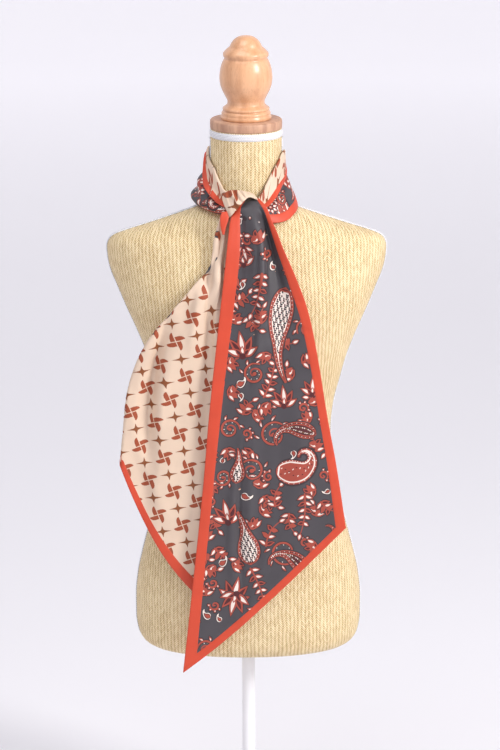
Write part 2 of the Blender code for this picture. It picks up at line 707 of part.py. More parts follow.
def build_scarf():
    paisley = material("paisley_face", (0.085, 0.075, 0.085), 0.62)
    pinwheel = material("pinwheel_face", (0.72, 0.52, 0.36), 0.6)
    edging = material("rust_edging", (0.62, 0.09, 0.03), 0.6)
    build_tail(
        "front_tail",
        front_tail_surface(),
        steps_between(FRONT_LINES[1], FRONT_LINES[-2], FRONT_CELLS[0]),
        FRONT_LINES[0],
        FRONT_LINES[-1],
        FRONT_CELLS[1],
        (paisley, edging),
    )
    build_tail(
        "back_tail",
        back_tail_surface(),
        [BACK_LINES[1], -FOLD_SHARE, 0.0, FOLD_SHARE]
        + steps_between(PAST_FOLD, BACK_LINES[-2], BACK_CELLS[0]),
        BACK_LINES[0],
        BACK_LINES[-1],
        BACK_CELLS[1],
        (pinwheel, edging),
    )
    loop = loop_surface()
    strips = (
        ("hem_edging", steps_between(0, 1, 2), edging),
        ("neck_loop", steps_between(1, 2, 7) + [2.5, 3], paisley),
        ("neck_flap", [3, 4] + steps_between(5, 6, 3), pinwheel),
        ("flap_edging", steps_between(6, 7, 2), edging),
    )
    for side, turns in LOOP_TURNS.items():
        for name, rows, finish in strips:
            end = len(rows) - 1
            seams = ({}, {0: 1, len(turns) - 1: -1})
            if name != "hem_edging":
                seams[0][0] = 1
            if name != "flap_edging":
                seams[0][end] = -1
            full_name = name + "_" + side
            wall(full_name, loop, rows, turns, LOOP_WALL, finish, step=0.01, seams=seams)
    wall(
        "knot_wrap",
        knot_surface(),
        steps_between(0, 1, KNOT_CELLS[0]),
        steps_between(0, 1, KNOT_CELLS[1]),
        LOOP_WALL,
        pinwheel,
    )
    wall(
        "knot_twist",
        twist_surface(),
        steps_between(0, 1, TWIST_CELLS[0]),
        steps_between(0, 1, TWIST_CELLS[1]),
        LOOP_WALL,
        edging,
    )


def build_form():
    straw = material("straw", (0.62, 0.5, 0.28), 0.6)
    trim = material("white_trim", (0.86, 0.86, 0.87), 0.75)
    wood = material("turned_wood", (0.72, 0.36, 0.16), 0.3)
    plain_wood = material("plain_wood", (0.52, 0.3, 0.2), 0.55)
    paint = material("white_paint", (0.86, 0.86, 0.87), 0.35)
    form_body(straw)
    neck_trim(trim)
    side_trim("side_trim_right", 0.0, trim)
    side_trim("side_trim_left", math.pi, trim)

    disc = turned(
        "neck_disc",
        (
            (GAP, DISC_RADIUS - DISC_LOWER_EDGE),
            (GAP + DISC_LOWER_EDGE, DISC_RADIUS),
            (DISC_THICK - DISC_UPPER_EDGE, DISC_RADIUS),
            (DISC_THICK, DISC_RADIUS - DISC_UPPER_EDGE),
        ),
        FORM_SEGMENTS,
        plain_wood,
    )
    finial = turned("finial", FINIAL_PROFILE, FINIAL_SEGMENTS, wood)
    cap = Matrix.Translation((0, 0, (FORM_BOTTOM + NECK_TOP) * MM)) @ Matrix.Rotation(
        math.radians(NECK_TILT), 4, "X"
    )
    disc.matrix_world = cap
    finial.matrix_world = cap @ Matrix.Translation((0, 0, DISC_THICK * MM))

    turned("base_plate", BASE_PROFILE, FORM_SEGMENTS, paint)
    foot, top = BASE_THICK + GAP, FORM_BOTTOM + SOCKET_DEPTH - GAP
    turned(
        "pole",
        (
            (foot, POLE_RADIUS - POLE_EDGE),
            (foot + POLE_EDGE, POLE_RADIUS),
            (top - POLE_EDGE, POLE_RADIUS),
            (top, POLE_RADIUS - POLE_EDGE),
        ),
        POLE_SEGMENTS,
        paint,
    )


def main():
    for old in list(bpy.data.objects):
        bpy.data.objects.remove(old, do_unlink=True)
    build_form()
    build_scarf()


main()
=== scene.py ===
"""A double-sided scarf on a straw-covered dress form, dressed over its solid model."""

import bisect
import functools
import itertools
import math
import random

import bmesh
import bpy
import numpy as np
from mathutils import Matrix, Vector
from mathutils.geometry import delaunay_2d_cdt
from mathutils.kdtree import KDTree


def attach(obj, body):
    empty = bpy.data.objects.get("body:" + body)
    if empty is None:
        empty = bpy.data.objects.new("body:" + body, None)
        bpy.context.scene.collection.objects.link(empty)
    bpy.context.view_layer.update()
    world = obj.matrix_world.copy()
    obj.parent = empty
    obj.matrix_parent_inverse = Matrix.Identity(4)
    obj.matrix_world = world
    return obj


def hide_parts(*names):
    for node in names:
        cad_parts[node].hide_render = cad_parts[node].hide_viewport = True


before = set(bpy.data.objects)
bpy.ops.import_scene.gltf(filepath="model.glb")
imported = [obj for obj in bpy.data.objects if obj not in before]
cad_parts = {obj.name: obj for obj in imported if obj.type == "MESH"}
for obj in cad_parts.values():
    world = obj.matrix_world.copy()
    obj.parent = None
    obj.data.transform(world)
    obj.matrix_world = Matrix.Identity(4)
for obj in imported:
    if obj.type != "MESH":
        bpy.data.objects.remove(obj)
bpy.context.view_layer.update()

MM = 0.001

# Stand, in millimetres
BASE_RADIUS = 140.0
BASE_THICK = 9.0
HUB_RADIUS = 17.0
HUB_HEIGHT = 30.0
POLE_RADIUS = 9.3
SOCKET_DEPTH = 40.0
FORM_BOTTOM = 280.0

# Dress form
NECK_TOP = 739.0
NECK_TILT = 3.0
TILT_STARTS = 690.0
DISC_RADIUS = 49.6
DISC_THICK = 12.5
NECK_TRIM_WIDTH = 11.0
SIDE_TRIM_WIDTH = 10.0
# Share of a tape's width, from its lower edge or from its middle, and how far it stands out there
NECK_TAPE_SHAPE = (0.0, 0.0), (0.12, 0.9), (0.3, 1.3), (0.5, 1.2), (0.7, 1.3), (0.88, 0.9), (1.0, 0.0)
SIDE_TAPE_SHAPE = (-1, 0.05), (-0.93, 0.9), (-0.5, 1.3), (0, 1.35), (0.5, 1.3), (0.93, 0.9), (1, 0.05)
# Dark stitches beside the side tapes
SEAM_HEIGHTS = range(8, 714, 3)
SEAM_STITCH = 1.4
SEAM_BESIDE = 2.0
RING_SPACING = 7
BODY_SEGMENTS = 176
STRAW_COLUMN = 5.5
STRAW_PITCH = 3.5
KNIT_PITCH = 2.2
KNIT_LEG = 1.25
NECK_KNITS = 124
TAPE_SEGMENTS = 160

# Scarf
SCARF_WIDTH = 220.0
EDGING = 12.5
FLAP_EDGING = 8.5
STITCH, STITCH_PITCH, STITCH_WIDTH, STITCH_LIFT = 2.1, 3.4, 0.42, 0.28
# Where the points across a strip of edging lie, and how thick its two sides are, as shares
STRIP = (0, 0.08, 0.36, 0.64, 0.92, 1)
STRIP_EDGE = 0.45
CLOTH = 0.9
FOLD_RADIUS = 1.8
FOLD_OPENS = 2.5
LOOP_FOLD = 1.1
END_SLANT = 37.0
FRONT_SIDES = (703.0, 510.0)
BACK_SIDES = (390.0, 590.0)

# Height above the form's bottom, half width, depth in front of the axis and behind it, fullness
FORM_SECTIONS = (
    (0, 126, 72, 80, 2.2),
    (4, 139, 82, 90, 2.2),
    (11, 149, 90, 98, 2.2),
    (22, 155, 95, 103, 2.2),
    (45, 158.5, 98, 106, 2.2),
    (75, 158.5, 98, 107, 2.2),
    (107, 155.5, 96, 105, 2.2),
    (142, 148, 92, 99, 2.2),
    (180, 138, 88, 91, 2.2),
    (225, 126, 83, 80, 2.15),
    (270, 118.5, 79, 71, 2.1),
    (317, 116.5, 78, 67, 2.1),
    (352, 120, 81, 68, 2.1),
    (386, 128.5, 87, 71, 2.15),
    (420, 138, 94, 75, 2.2),
    (454, 151, 100, 79, 2.2),
    (488, 166, 102, 83, 2.15),
    (522, 180, 99, 85, 2.1),
    (545, 189, 94, 85, 2.0),
    (562, 192.6, 89, 83, 2.0),
    (576, 193.5, 84, 80, 2.0),
    (585, 191, 81, 78, 2.0),
    (592, 183.5, 78, 76, 2.0),
    (598, 168, 74, 72, 2.0),
    (604, 149, 70.5, 68, 2.0),
    (611, 127, 66, 64, 2.0),
    (618, 106, 61.5, 60, 2.0),
    (625, 85.5, 57.5, 56.5, 2.0),
    (631, 69, 54, 54, 2.0),
    (638, 58, 51.5, 52, 2.0),
    (648, 51.8, 49.8, 50.2, 2.0),
    (665, 49.4, 49.1, 49.3, 2.0),
    (700, 49, 49, 49, 2.0),
    (739, 49, 49, 49, 2.0),
)

# Height above the finial's foot, radius
FINIAL_PROFILE = (
    (0.3, 34.4), (2.2, 35.1), (5.2, 34.6), (6.4, 33.6), (8.0, 34.0), (10.6, 33.0),
    (12.2, 30.8), (13.4, 32.2), (15.2, 32.3), (18.6, 28.4), (21.6, 25.8), (25.0, 25.6),
    (29.0, 27.2), (35.0, 30.2), (42.0, 33.5), (49.5, 35.7), (57.5, 36.4), (66.0, 35.7),
    (74.0, 34.0), (81.0, 31.2), (84.6, 29.4), (87.0, 31.1), (90.2, 31.4), (95.0, 27.9),
    (98.6, 23.9), (99.4, 22.8), (105.0, 19.8), (110.4, 15.2), (114.0, 8.6), (115.5, 0.0),
)

# The neck loop's section at each azimuth, anticlockwise seen from above with 0 at the front. Each
# pair is a radius and a height above the form's bottom: the top fold, the flap's edge, the body
# behind it, its upper roll, the crease below, the lower roll, the cloth under that, and the hem
LOOP_SECTIONS = (
    (16, 61, 650, 76, 636.5, 70, 635.5, 73, 631.5, 74.5, 629, 75.5, 626, 76.3, 623, 77, 619),
    (24, 55.8, 659, 72.5, 640, 65.5, 638.5, 70, 634.5, 72.5, 631, 74.5, 627, 76, 622, 77, 617.5),
    (34, 52.8, 671.5, 66.8, 646, 60.5, 645, 66.5, 640, 70, 634.5, 73, 629, 76, 623, 78.4, 617.4),
    (45, 52.2, 685, 61.5, 653, 56.5, 654, 63, 648, 66.5, 641.5, 70.5, 634, 75, 626, 78.4, 619),
    (58, 52.2, 697, 57.5, 660.5, 53.4, 658.5, 60.5, 652, 64.2, 647, 69, 640.5, 74, 633, 77.4, 626),
    (72, 52.3, 706.5, 56.3, 666.5, 52.8, 664, 59.3, 656.5, 63, 651, 67.5, 645, 71.5, 638, 74, 631.2),
    (90, 52.6, 708.5, 55.6, 679.5, 52.6, 681, 58.5, 665, 61.5, 658, 64, 652, 66.5, 645, 68, 638.5),
    (110, 52.4, 704, 55.8, 684, 52.4, 684, 56, 672, 59, 665, 61.5, 657, 63.5, 650, 64, 643),
    (140, 52.2, 703, 56.5, 687, 52.4, 686, 56, 675, 58.5, 668, 61.5, 661, 63.5, 654, 63, 647),
    (180, 52.2, 704, 57, 688, 52.4, 686, 56, 676, 59, 670, 62.5, 662, 64, 655, 62, 648),
    (220, 52.3, 706, 57.5, 691, 52.6, 686, 58, 676, 60.5, 669, 65, 660, 65.5, 650.5, 59, 649),
    (245, 52.6, 710, 58.2, 701, 53, 686, 62, 672, 64, 664, 70, 653.5, 68, 643.5, 58.5, 646.5),
    (259, 53, 712, 58, 702.5, 53.5, 684, 66, 668, 66, 658, 73, 650, 69, 640.5, 59.5, 646),
    (270, 53, 705, 59.4, 690, 54.5, 680, 68, 661.5, 68, 654, 75, 647, 70, 637.5, 60.5, 644),
    (280, 52.4, 699, 61.3, 675.5, 56.5, 673, 68.5, 656.5, 68.5, 650.5, 75, 644, 70.5, 636, 60, 643),
    (290, 52.2, 694, 62.6, 663.5, 58, 662, 68, 653, 69, 647.5, 73.8, 641, 70, 634.5, 60, 642),
    (302, 52.2, 687.5, 63.8, 655.5, 60, 655, 67, 649, 69, 644.5, 73, 638.5, 70, 632.8, 60, 640.5),
    (315, 52.6, 671, 66.5, 648.5, 60, 646.5, 68, 643.5, 70.5, 640, 73.5, 636, 71, 630.8, 61.5, 638),
    (328, 57, 660, 71.2, 642.3, 64.5, 640.5, 70.5, 639, 73, 636.5, 75, 633, 73, 629, 63.5, 635.5),
    (340, 62.5, 652.5, 75.5, 638.5, 68.5, 636, 73.4, 635.5, 75, 633, 76, 630, 75, 627, 66, 632),
)
FLAP_HIP = 0.3
# Millimetres of the loop's flat view to a degree of azimuth
LOOP_REACH = 1.13

# Cloth lines across the front tail, as shares of its width: edge, edging, hollow, crest, pocket,
# edging, edge
FRONT_LINES = (0.0, 0.082, 0.20, 0.38, 0.64, 0.943, 1.0)

# Share of the tail's length, left x and z, right x and z, how far proud of the axis the tail
# hangs, where the five inner lines lie across it, and each line's offset from that depth
FRONT_STATIONS = (
    (0.000, -0.5, 931, 9, 931.7, 62, 0.06, 0.2, 0.35, 0.48, 0.60, 0, 0, 0, 0, 0, 0, 0),
    (0.020, -3.5, 928.5, 16.5, 931, 70, 0.11, 0.25, 0.45, 0.68, 0.82, -0.5, 0, 0, 0.5, 0, -1, -2),
    (0.040, -10, 924, 22.5, 927.5, 79.5, 0.15, 0.29, 0.50, 0.70, 0.83, -1.5, 0, 1, 1, -1, -1, -1),
    (0.060, -15.5, 920, 27, 922.5, 85.5, 0.19, 0.33, 0.53, 0.74, 0.86, -2.5, 0, 1, 2, -2, -1, 0),
    (0.080, -18, 914, 30.3, 916, 88.7, 0.21, 0.36, 0.56, 0.78, 0.88, -4, -1, 2, 4, -4, -1, 0),
    (0.105, -21.5, 906.5, 33.5, 907.5, 92, 0.235, 0.38, 0.60, 0.80, 0.885, -2, -3, 3, 8, -7, -1, 1),
    (0.150, -24.4, 888, 41, 891, 97.5, 0.25, 0.39, 0.60, 0.80, 0.885, 0, -3, 3, 11, -10, -1, 3),
    (0.200, -27.8, 857, 50, 868, 103.5, 0.24, 0.37, 0.58, 0.79, 0.885, 1, -2, 3, 12, -10, -1, 4),
    (0.280, -35, 795, 67, 829, 110, 0.19, 0.32, 0.52, 0.76, 0.885, 1, -1, 2, 9, -7, 0, 3),
    (0.380, -43, 725, 84, 780, 113, 0.145, 0.27, 0.46, 0.70, 0.905, 1, 0, 1, 5, -3, 0, 1),
    (0.500, -52.5, 637, 98, 709, 114, 0.115, 0.23, 0.42, 0.66, 0.925, 1, 0, 0, 2, -1, 0, 0),
    (0.620, -60.5, 546, 108, 645, 114, 0.09, 0.20, 0.38, 0.64, 0.937, 1, 0, -1, 0, 1, 0, 0),
    (0.800, -75.5, 408, 122, 567, 114, 0.082, 0.20, 0.38, 0.64, 0.943, 1, 0, -1, 0, 2, 1, 0),
    (1.000, -91, 272, 135.2, 479.7, 114, 0.082, 0.20, 0.38, 0.64, 0.943, 1, 0, 0, 0, 1, 1, 0),
)
FRONT_BOW, FRONT_BOW_LEAN = 8.0, 0.5

# Cloth lines across the back tail: the turned-under edge, its edging, the fold that shows, the
# side valley, the lobe, the inner valley, the tube beside it, the edging and the right edge
BACK_LINES = (-0.12, -0.063, 0.0, 0.16, 0.32, 0.68, 0.83, 0.943, 1.0)

# Share of the tail's length, left x and z, right x and z, how far proud of the axis the left and
# the right hang, where the side valley, lobe, inner valley and tube lie across it, the offsets of
# those four lines, and how far the turned-under edge reaches
BACK_STATIONS = (
    (0.00, -31, 916, -15, 907.5, 77.5, 81, 0.20, 0.36, 0.62, 0.80, 0, 1, -1, 1, 5),
    (0.05, -37, 904, -14, 889, 82, 85.5, 0.20, 0.36, 0.60, 0.80, -2, 2, -3, 2, 8),
    (0.12, -41, 881, -14, 857, 87, 90, 0.20, 0.34, 0.56, 0.78, -2, 3, -3, 2, 12),
    (0.22, -51, 843, -15, 803, 96.5, 102.5, 0.16, 0.30, 0.50, 0.76, -2, 3, -3, 2, 16),
    (0.32, -74, 815, -17, 748, 102, 106, 0.10, 0.26, 0.52, 0.74, -2, 3, -4, 2, 20),
    (0.42, -100, 785, -19, 693, 101, 107, 0.09, 0.24, 0.62, 0.78, -4, 3, -5, 2, 22),
    (0.52, -126, 753, -21, 637, 97, 107, 0.12, 0.26, 0.70, 0.84, -7, 3, -4, 1, 22),
    (0.64, -152, 709, -22, 570, 93, 107, 0.17, 0.30, 0.70, 0.84, -9, 3, -2, 0, 22),
    (0.76, -164.5, 670, -22, 503, 91, 107, 0.19, 0.33, 0.69, 0.83, -8, 3, 0, 0, 22),
    (0.88, -171, 615, -20, 428, 91, 107, 0.18, 0.32, 0.68, 0.83, -5, 2, 0, 0, 20),
    (1.00, -176.5, 565, -15, 332, 92, 106, 0.16, 0.32, 0.68, 0.83, -2, 1, 0, 0, 14),
)
BACK_EDGING_AT = 0.93
BACK_BOW, BACK_BOW_LEAN = 42.0, 0.4

# The knot wrap at each share of the way from the left to the right: the x, y and z of its top
# edge, of its belly and of its bottom edge
KNOT_STATIONS = (
    (0.00, -33.8, -60, 936.3, -31, -72, 926, -25.2, -80.5, 914.5),
    (0.20, -27.7, -64, 940.4, -25.8, -79, 926.5, -23.2, -85.5, 908.5),
    (0.45, -18.1, -66, 942.5, -15.8, -84.5, 932, -13.2, -90.3, 919.3),
    (0.70, -7.3, -66, 941.7, -4.5, -81, 937, -2.8, -86.5, 931.2),
    (0.87, 0.9, -63, 939.6, 2.4, -75, 938, 4, -79.5, 934.8),
    (1.00, 9.0, -57, 936.1, 12, -67, 934.5, 15.6, -75.5, 930.8),
)

# The edging that twists into view under the knot: share of its length, x of its left and right,
# z, and how far proud of the axis
TWIST_STATIONS = (
    (0.0, -33, -26, 916, 84.5),
    (0.35, -35.8, -23.9, 908, 88.5),
    (0.7, -35.2, -27.3, 897, 91.5),
    (1.0, -32.4, -29.8, 886, 94),
)


def curve(keys, values):
    """A smooth function through the values at the keys that doesn't overshoot them."""
    steps = [(values[i + 1] - values[i]) / (keys[i + 1] - keys[i]) for i in range(len(keys) - 1)]
    inner = [0.0 if a * b <= 0 else 2 * a * b / (a + b) for a, b in zip(steps, steps[1:])]
    slopes = [steps[0]] + inner + [steps[-1]]

    def at(key):
        i = min(max(bisect.bisect_right(keys, key), 1), len(keys) - 1) - 1
        span = keys[i + 1] - keys[i]
        f = (key - keys[i]) / span
        if f < 0 or f > 1:
            end = 0 if f < 0 else 1
            return values[i + end] + slopes[i + end] * (f - end) * span
        g = 1 - f
        return (
            values[i] * (1 + 2 * f) * g * g
            + values[i + 1] * (1 + 2 * g) * f * f
            + span * f * g * (slopes[i] * g - slopes[i + 1] * f)
        )

    return at


def columns(rows):
    """A curve for each column of a table, keyed by its first column."""
    keys = [row[0] for row in rows]
    return [curve(keys, [row[i] for row in rows]) for i in range(1, len(rows[0]))]


def through(points):
    """A smooth line through points of a plane: its two coordinates by the length walked."""
    walked = [0.0]
    for a, b in zip(points, points[1:]):
        walked.append(walked[-1] + math.hypot(b[0] - a[0], b[1] - a[1]))
    return curve(walked, [p[0] for p in points]), curve(walked, [p[1] for p in points]), walked


def steps_between(start, end, count):
    return [start + (end - start) * i / count for i in range(count + 1)]


# Materials


class Nodes:
    """A material's node tree, with short ways to add nodes and link them."""

    def __init__(self, name, roughness, **values):
        self.made = bpy.data.materials.new(name)
        self.made.use_nodes = True
        self.tree = self.made.node_tree
        self.shader = self.tree.nodes["Principled BSDF"]
        self.shader.inputs["Roughness"].default_value = roughness
        for key, value in values.items():
            self.shader.inputs[key.replace("_", " ")].default_value = value

    def add(self, kind, inputs=None, **settings):
        node = self.tree.nodes.new(kind)
        for key, value in settings.items():
            setattr(node, key, value)
        for key, value in (inputs or {}).items():
            if isinstance(value, bpy.types.NodeSocket):
                self.tree.links.new(value, node.inputs[key])
            else:
                node.inputs[key].default_value = value
        return node

    def math(self, operation, *values):
        return self.add("ShaderNodeMath", dict(enumerate(values)), operation=operation).outputs[0]

    def plus(self, a, b):
        return self.math("ADD", a, b)

    def times(self, a, b):
        return self.math("MULTIPLY", a, b)

    def uv(self, scale=1.0):
        """The cloth's own flat coordinates, in millimetres."""
        place = self.add("ShaderNodeUVMap", uv_map="flat").outputs[0]
        if scale == 1.0:
            return place
        inputs = {0: place, 1: (scale, scale, scale)}
        return self.add("ShaderNodeVectorMath", inputs, operation="MULTIPLY").outputs[0]

    def place(self):
        return self.add("ShaderNodeTexCoord").outputs["Object"]

    def noise(self, vector, scale, detail=3.0, roughness=0.5):
        inputs = {"Vector": vector, "Scale": scale, "Detail": detail, "Roughness": roughness}
        return self.add("ShaderNodeTexNoise", inputs).outputs["Fac"]

    def ramp(self, value, *stops):
        node = self.add("ShaderNodeValToRGB", {"Fac": value})
        ramp = node.color_ramp
        while len(ramp.elements) < len(stops):
            ramp.elements.new(0.5)
        for element, (position, colour) in zip(ramp.elements, stops):
            element.position = position
            element.color = (*colour, 1.0)
        return node.outputs["Color"]

    def mix(self, factor, a, b, blend="MIX"):
        node = self.add("ShaderNodeMix", data_type="RGBA", blend_type=blend)
        for index, value in ((0, factor), (6, a), (7, b)):
            if isinstance(value, bpy.types.NodeSocket):
                self.tree.links.new(value, node.inputs[index])
            else:
                node.inputs[index].default_value = value if index == 0 else (*value, 1.0)
        return node.outputs[2]

    def colour(self, value):
        self.tree.links.new(value, self.shader.inputs["Base Color"])

    def bump(self, height, strength, distance):
        inputs = {"Height": height, "Strength": strength, "Distance": distance}
        normal = self.add("ShaderNodeBump", inputs).outputs["Normal"]
        self.tree.links.new(normal, self.shader.inputs["Normal"])


def shade(colour, factor):
    return tuple(channel * factor for channel in colour)


def cloth_material(name, colour, roughness=0.55, variation=0.1, sheen=0.05):
    """Light smooth woven cloth: fine threads both ways, a soft sheen and slight unevenness, with a
    painted highlight on the raised threads.
    """
    nodes = Nodes(name, roughness, Sheen_Weight=sheen, Sheen_Roughness=0.4)
    uneven = nodes.noise(nodes.uv(0.03), 1.0, 4.0)
    inputs = {"Vector": nodes.uv(), "Scale": 0.55, "Distortion": 0.4, "Detail": 1.0}
    threads = [nodes.add("ShaderNodeTexWave", inputs, bands_direction=way) for way in "XY"]
    weave = nodes.times(*[thread.outputs["Fac"] for thread in threads])
    low, high = shade(colour, 1 - variation), shade(colour, 1 + variation * 0.6)
    base = nodes.ramp(uneven, (0.3, low), (0.7, high))
    # Painted highlight: the colour turns lighter where the threads stand highest
    nodes.colour(nodes.mix(weave, base, shade(colour, 1 + variation * 0.5)))
    fine = nodes.noise(nodes.uv(), 0.25, 2.0)
    nodes.bump(nodes.plus(weave, nodes.times(fine, 1.5)), 0.25, 0.00012)
    return nodes.made


def straw_material():
    """Plaited straw cloth: columns of slanting strands that meet in upright lines of Vs, coloured by
    their relief with painted shade in the grooves and a painted highlight on the crowns.
    """
    nodes = Nodes("straw", 0.62)

    def from_half(value):
        return nodes.math("ABSOLUTE", nodes.math("SUBTRACT", nodes.times(value, 2.0), 1.0))

    split = nodes.add("ShaderNodeSeparateXYZ", {"Vector": nodes.uv()})
    wobble = nodes.noise(nodes.uv(0.02), 2.0, 2.0)
    across = nodes.plus(split.outputs["X"], nodes.times(wobble, 5.0))
    pairs = nodes.math("DIVIDE", across, 2 * STRAW_COLUMN)
    slant = from_half(nodes.math("FRACT", pairs))
    climb = nodes.math("DIVIDE", split.outputs["Y"], STRAW_PITCH)
    strand = nodes.plus(climb, nodes.times(slant, 1.9))
    edge = nodes.math("SUBTRACT", 1.0, from_half(slant))
    wave = nodes.math("SINE", nodes.times(strand, math.pi))
    crown = nodes.math("POWER", nodes.math("ABSOLUTE", wave), 0.8)
    rib = nodes.math("POWER", nodes.plus(edge, 0.03), 0.34)
    height = nodes.times(crown, rib)
    column = nodes.math("FLOOR", nodes.times(pairs, 2.0))
    number = nodes.add("ShaderNodeCombineXYZ", {"X": nodes.math("FLOOR", strand), "Y": column})
    each = nodes.add("ShaderNodeTexWhiteNoise", {"Vector": number.outputs[0]}).outputs["Value"]
    broad = nodes.noise(nodes.uv(0.01), 1.6, 3.0)
    fibre = nodes.noise(nodes.uv(), 1.1, 2.0)
    tone = nodes.times(fibre, 0.1)
    # The strands' relief sets most of the tone: painted shade in the grooves and between columns,
    # painted highlight on the crowns; the noise is the straw's own uneven colour
    for value, weight in ((broad, 0.16), (each, 0.16), (height, 0.62)):
        tone = nodes.plus(nodes.times(value, weight), tone)
    colours = ((0.20, 0.11, 0.04), (0.60, 0.42, 0.19), (0.86, 0.69, 0.41), (0.97, 0.86, 0.60))
    nodes.colour(nodes.ramp(tone, *zip((0.14, 0.42, 0.64, 0.86), colours)))
    nodes.bump(nodes.plus(height, nodes.times(fibre, 0.12)), 0.75, 0.0009)
    return nodes.made


def wood_material(name, dark, light, roughness, coat):
    """Turned wood, its grain running up the piece, with fine dark pores."""
    nodes = Nodes(name, roughness, Coat_Weight=coat, Coat_Roughness=0.22)
    stretch = nodes.add("ShaderNodeMapping", {"Vector": nodes.place(), "Scale": (1.0, 1.0, 0.14)})
    grain = nodes.noise(stretch.outputs[0], 90.0, 6.0, 0.6)
    pores = nodes.noise(stretch.outputs[0], 700.0, 2.0, 0.6)
    base = nodes.ramp(grain, (0.35, dark), (0.6, light))
    dotted = nodes.ramp(pores, (0.36, (0.72, 0.66, 0.6)), (0.46, (1, 1, 1)))
    nodes.colour(nodes.mix(0.35, base, dotted, "MULTIPLY"))
    nodes.bump(grain, 0.12, 0.0004)
    return nodes.made


def paint_material():
    nodes = Nodes("white_paint", 0.32)
    speck = nodes.noise(nodes.place(), 900.0, 3.0)
    cloud = nodes.noise(nodes.place(), 14.0, 3.0)
    nodes.colour(nodes.ramp(cloud, (0.3, (0.84, 0.84, 0.86)), (0.7, (0.90, 0.90, 0.92))))
    nodes.bump(speck, 0.08, 0.0002)
    return nodes.made


def tape_material():
    """White knitted tape: small Vs one above the other, with painted shade between the rows."""
    nodes = Nodes("white_trim", 0.8)
    split = nodes.add("ShaderNodeSeparateXYZ", {"Vector": nodes.uv()})
    leg = nodes.math("PINGPONG", split.outputs["X"], KNIT_LEG)
    rows = nodes.times(nodes.plus(split.outputs["Y"], leg), 2 * math.pi / KNIT_PITCH)
    raised = nodes.plus(nodes.times(nodes.math("SINE", rows), 0.5), 0.5)
    # Painted shade: grey in the dips between the knit rows, white on the raised loops
    nodes.colour(nodes.ramp(raised, (0.0, (0.42, 0.42, 0.46)), (0.7, (0.90, 0.90, 0.92))))
    nodes.bump(raised, 0.6, 0.0005)
    return nodes.made


PAISLEY_COLOURS = {
    "ground": (0.058, 0.052, 0.059),
    "shadow": (0.030, 0.022, 0.026),
    "rust": (0.36, 0.058, 0.034),
    "maroon": (0.075, 0.008, 0.010),
    "cream": (0.80, 0.70, 0.63),
    "black": (0.014, 0.011, 0.014),
    "gold": (0.19, 0.12, 0.05),
}
PINWHEEL_COLOURS = {
    "ground": (0.70, 0.535, 0.405),
    "brown": (0.32, 0.060, 0.018),
    "star": (0.23, 0.062, 0.013),
}


def print_materials(prefix, colours, variation):
    return {
        key: cloth_material(f"{prefix}_{key}", colour, variation=variation)
        for key, colour in colours.items()
    }


STRAW = straw_material()
TAPE = tape_material()
GLOSSY_WOOD = wood_material("turned_wood", (0.62, 0.31, 0.155), (0.74, 0.41, 0.225), 0.36, 0.45)
PLAIN_WOOD = wood_material("plain_wood", (0.42, 0.22, 0.14), (0.58, 0.34, 0.22), 0.55, 0.05)
PAINT = paint_material()
PAISLEY = print_materials("paisley", PAISLEY_COLOURS, 0.12)
PINWHEEL = print_materials("pinwheel", PINWHEEL_COLOURS, 0.06)
RUST = cloth_material("rust_edging", (0.58, 0.056, 0.019), 0.5, 0.08, 0.05)
THREAD = cloth_material("thread", (0.50, 0.07, 0.03), 0.7, 0.1, 0.1)


# Meshes


def linked(name, data):
    made = bpy.data.objects.new(name, data)
    bpy.context.scene.collection.objects.link(made)
    return made


def add_piece(name, points, faces, finishes, flat, slots=None):
    """A piece of the scene from points in millimetres, riding on the one body."""
    mesh = bpy.data.meshes.new(name)
    mesh.from_pydata([tuple(p) for p in np.asarray(points) * MM], [], [tuple(f) for f in faces])
    for finish in finishes:
        mesh.materials.append(finish)
    if slots is not None:
        mesh.polygons.foreach_set("material_index", np.asarray(slots, dtype=np.int32))
    layer = mesh.uv_layers.new(name="flat")
    index = np.empty(len(mesh.loops), dtype=np.int32)
    mesh.loops.foreach_get("vertex_index", index)
    layer.data.foreach_set("uv", np.asarray(flat, dtype=np.float32)[index].ravel())
    mesh.validate()
    mesh.shade_smooth()
    made = linked(name, mesh)
    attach(made, "root")
    return made


def ring_faces(count, rings, closed=True):
    """Faces between rings of the same number of points, one after another."""
    faces = []
    for k in range(rings - 1):
        for i in range(count if closed else count - 1):
            a, b = k * count + i, k * count + (i + 1) % count
            faces.append((a, b, b + count, a + count))
    return faces


def capped(count, rings):
    """The same with a face over each end."""
    last = (rings - 1) * count
    ends = [tuple(range(count))[::-1], tuple(range(last, last + count))]
    return ring_faces(count, rings) + ends


def lathe(name, profile, segments, finish, matrix=Matrix(), close=True, sharp=180):
    """A piece turned about Z from (height, radius) pairs, with edges over so many degrees sharp."""
    points, flat = [], []
    for height, radius in profile:
        for i in range(segments):
            angle = 2 * math.pi * i / segments
            points.append((radius * math.cos(angle), radius * math.sin(angle), height))
            flat.append((radius * angle, height))
    faces = (capped if close else ring_faces)(segments, len(profile))
    made = add_piece(name, points, faces, [finish], flat)
    made.data.transform(matrix)
    if sharp < 180:
        made.data.set_sharp_from_angle(angle=math.radians(sharp))
    return made


def smooth_profile(rows, count):
    """More (height, radius) pairs along a profile, by the length walked."""
    height, radius, walked = through(rows)
    return [(height(w), max(radius(w), 0.02)) for w in steps_between(0, walked[-1], count)]


# Dress form

HALF_WIDTH, FRONT_DEPTH, BACK_DEPTH, FULLNESS = columns(FORM_SECTIONS)


def signed_power(value, power):
    return math.copysign(abs(value) ** power, value)


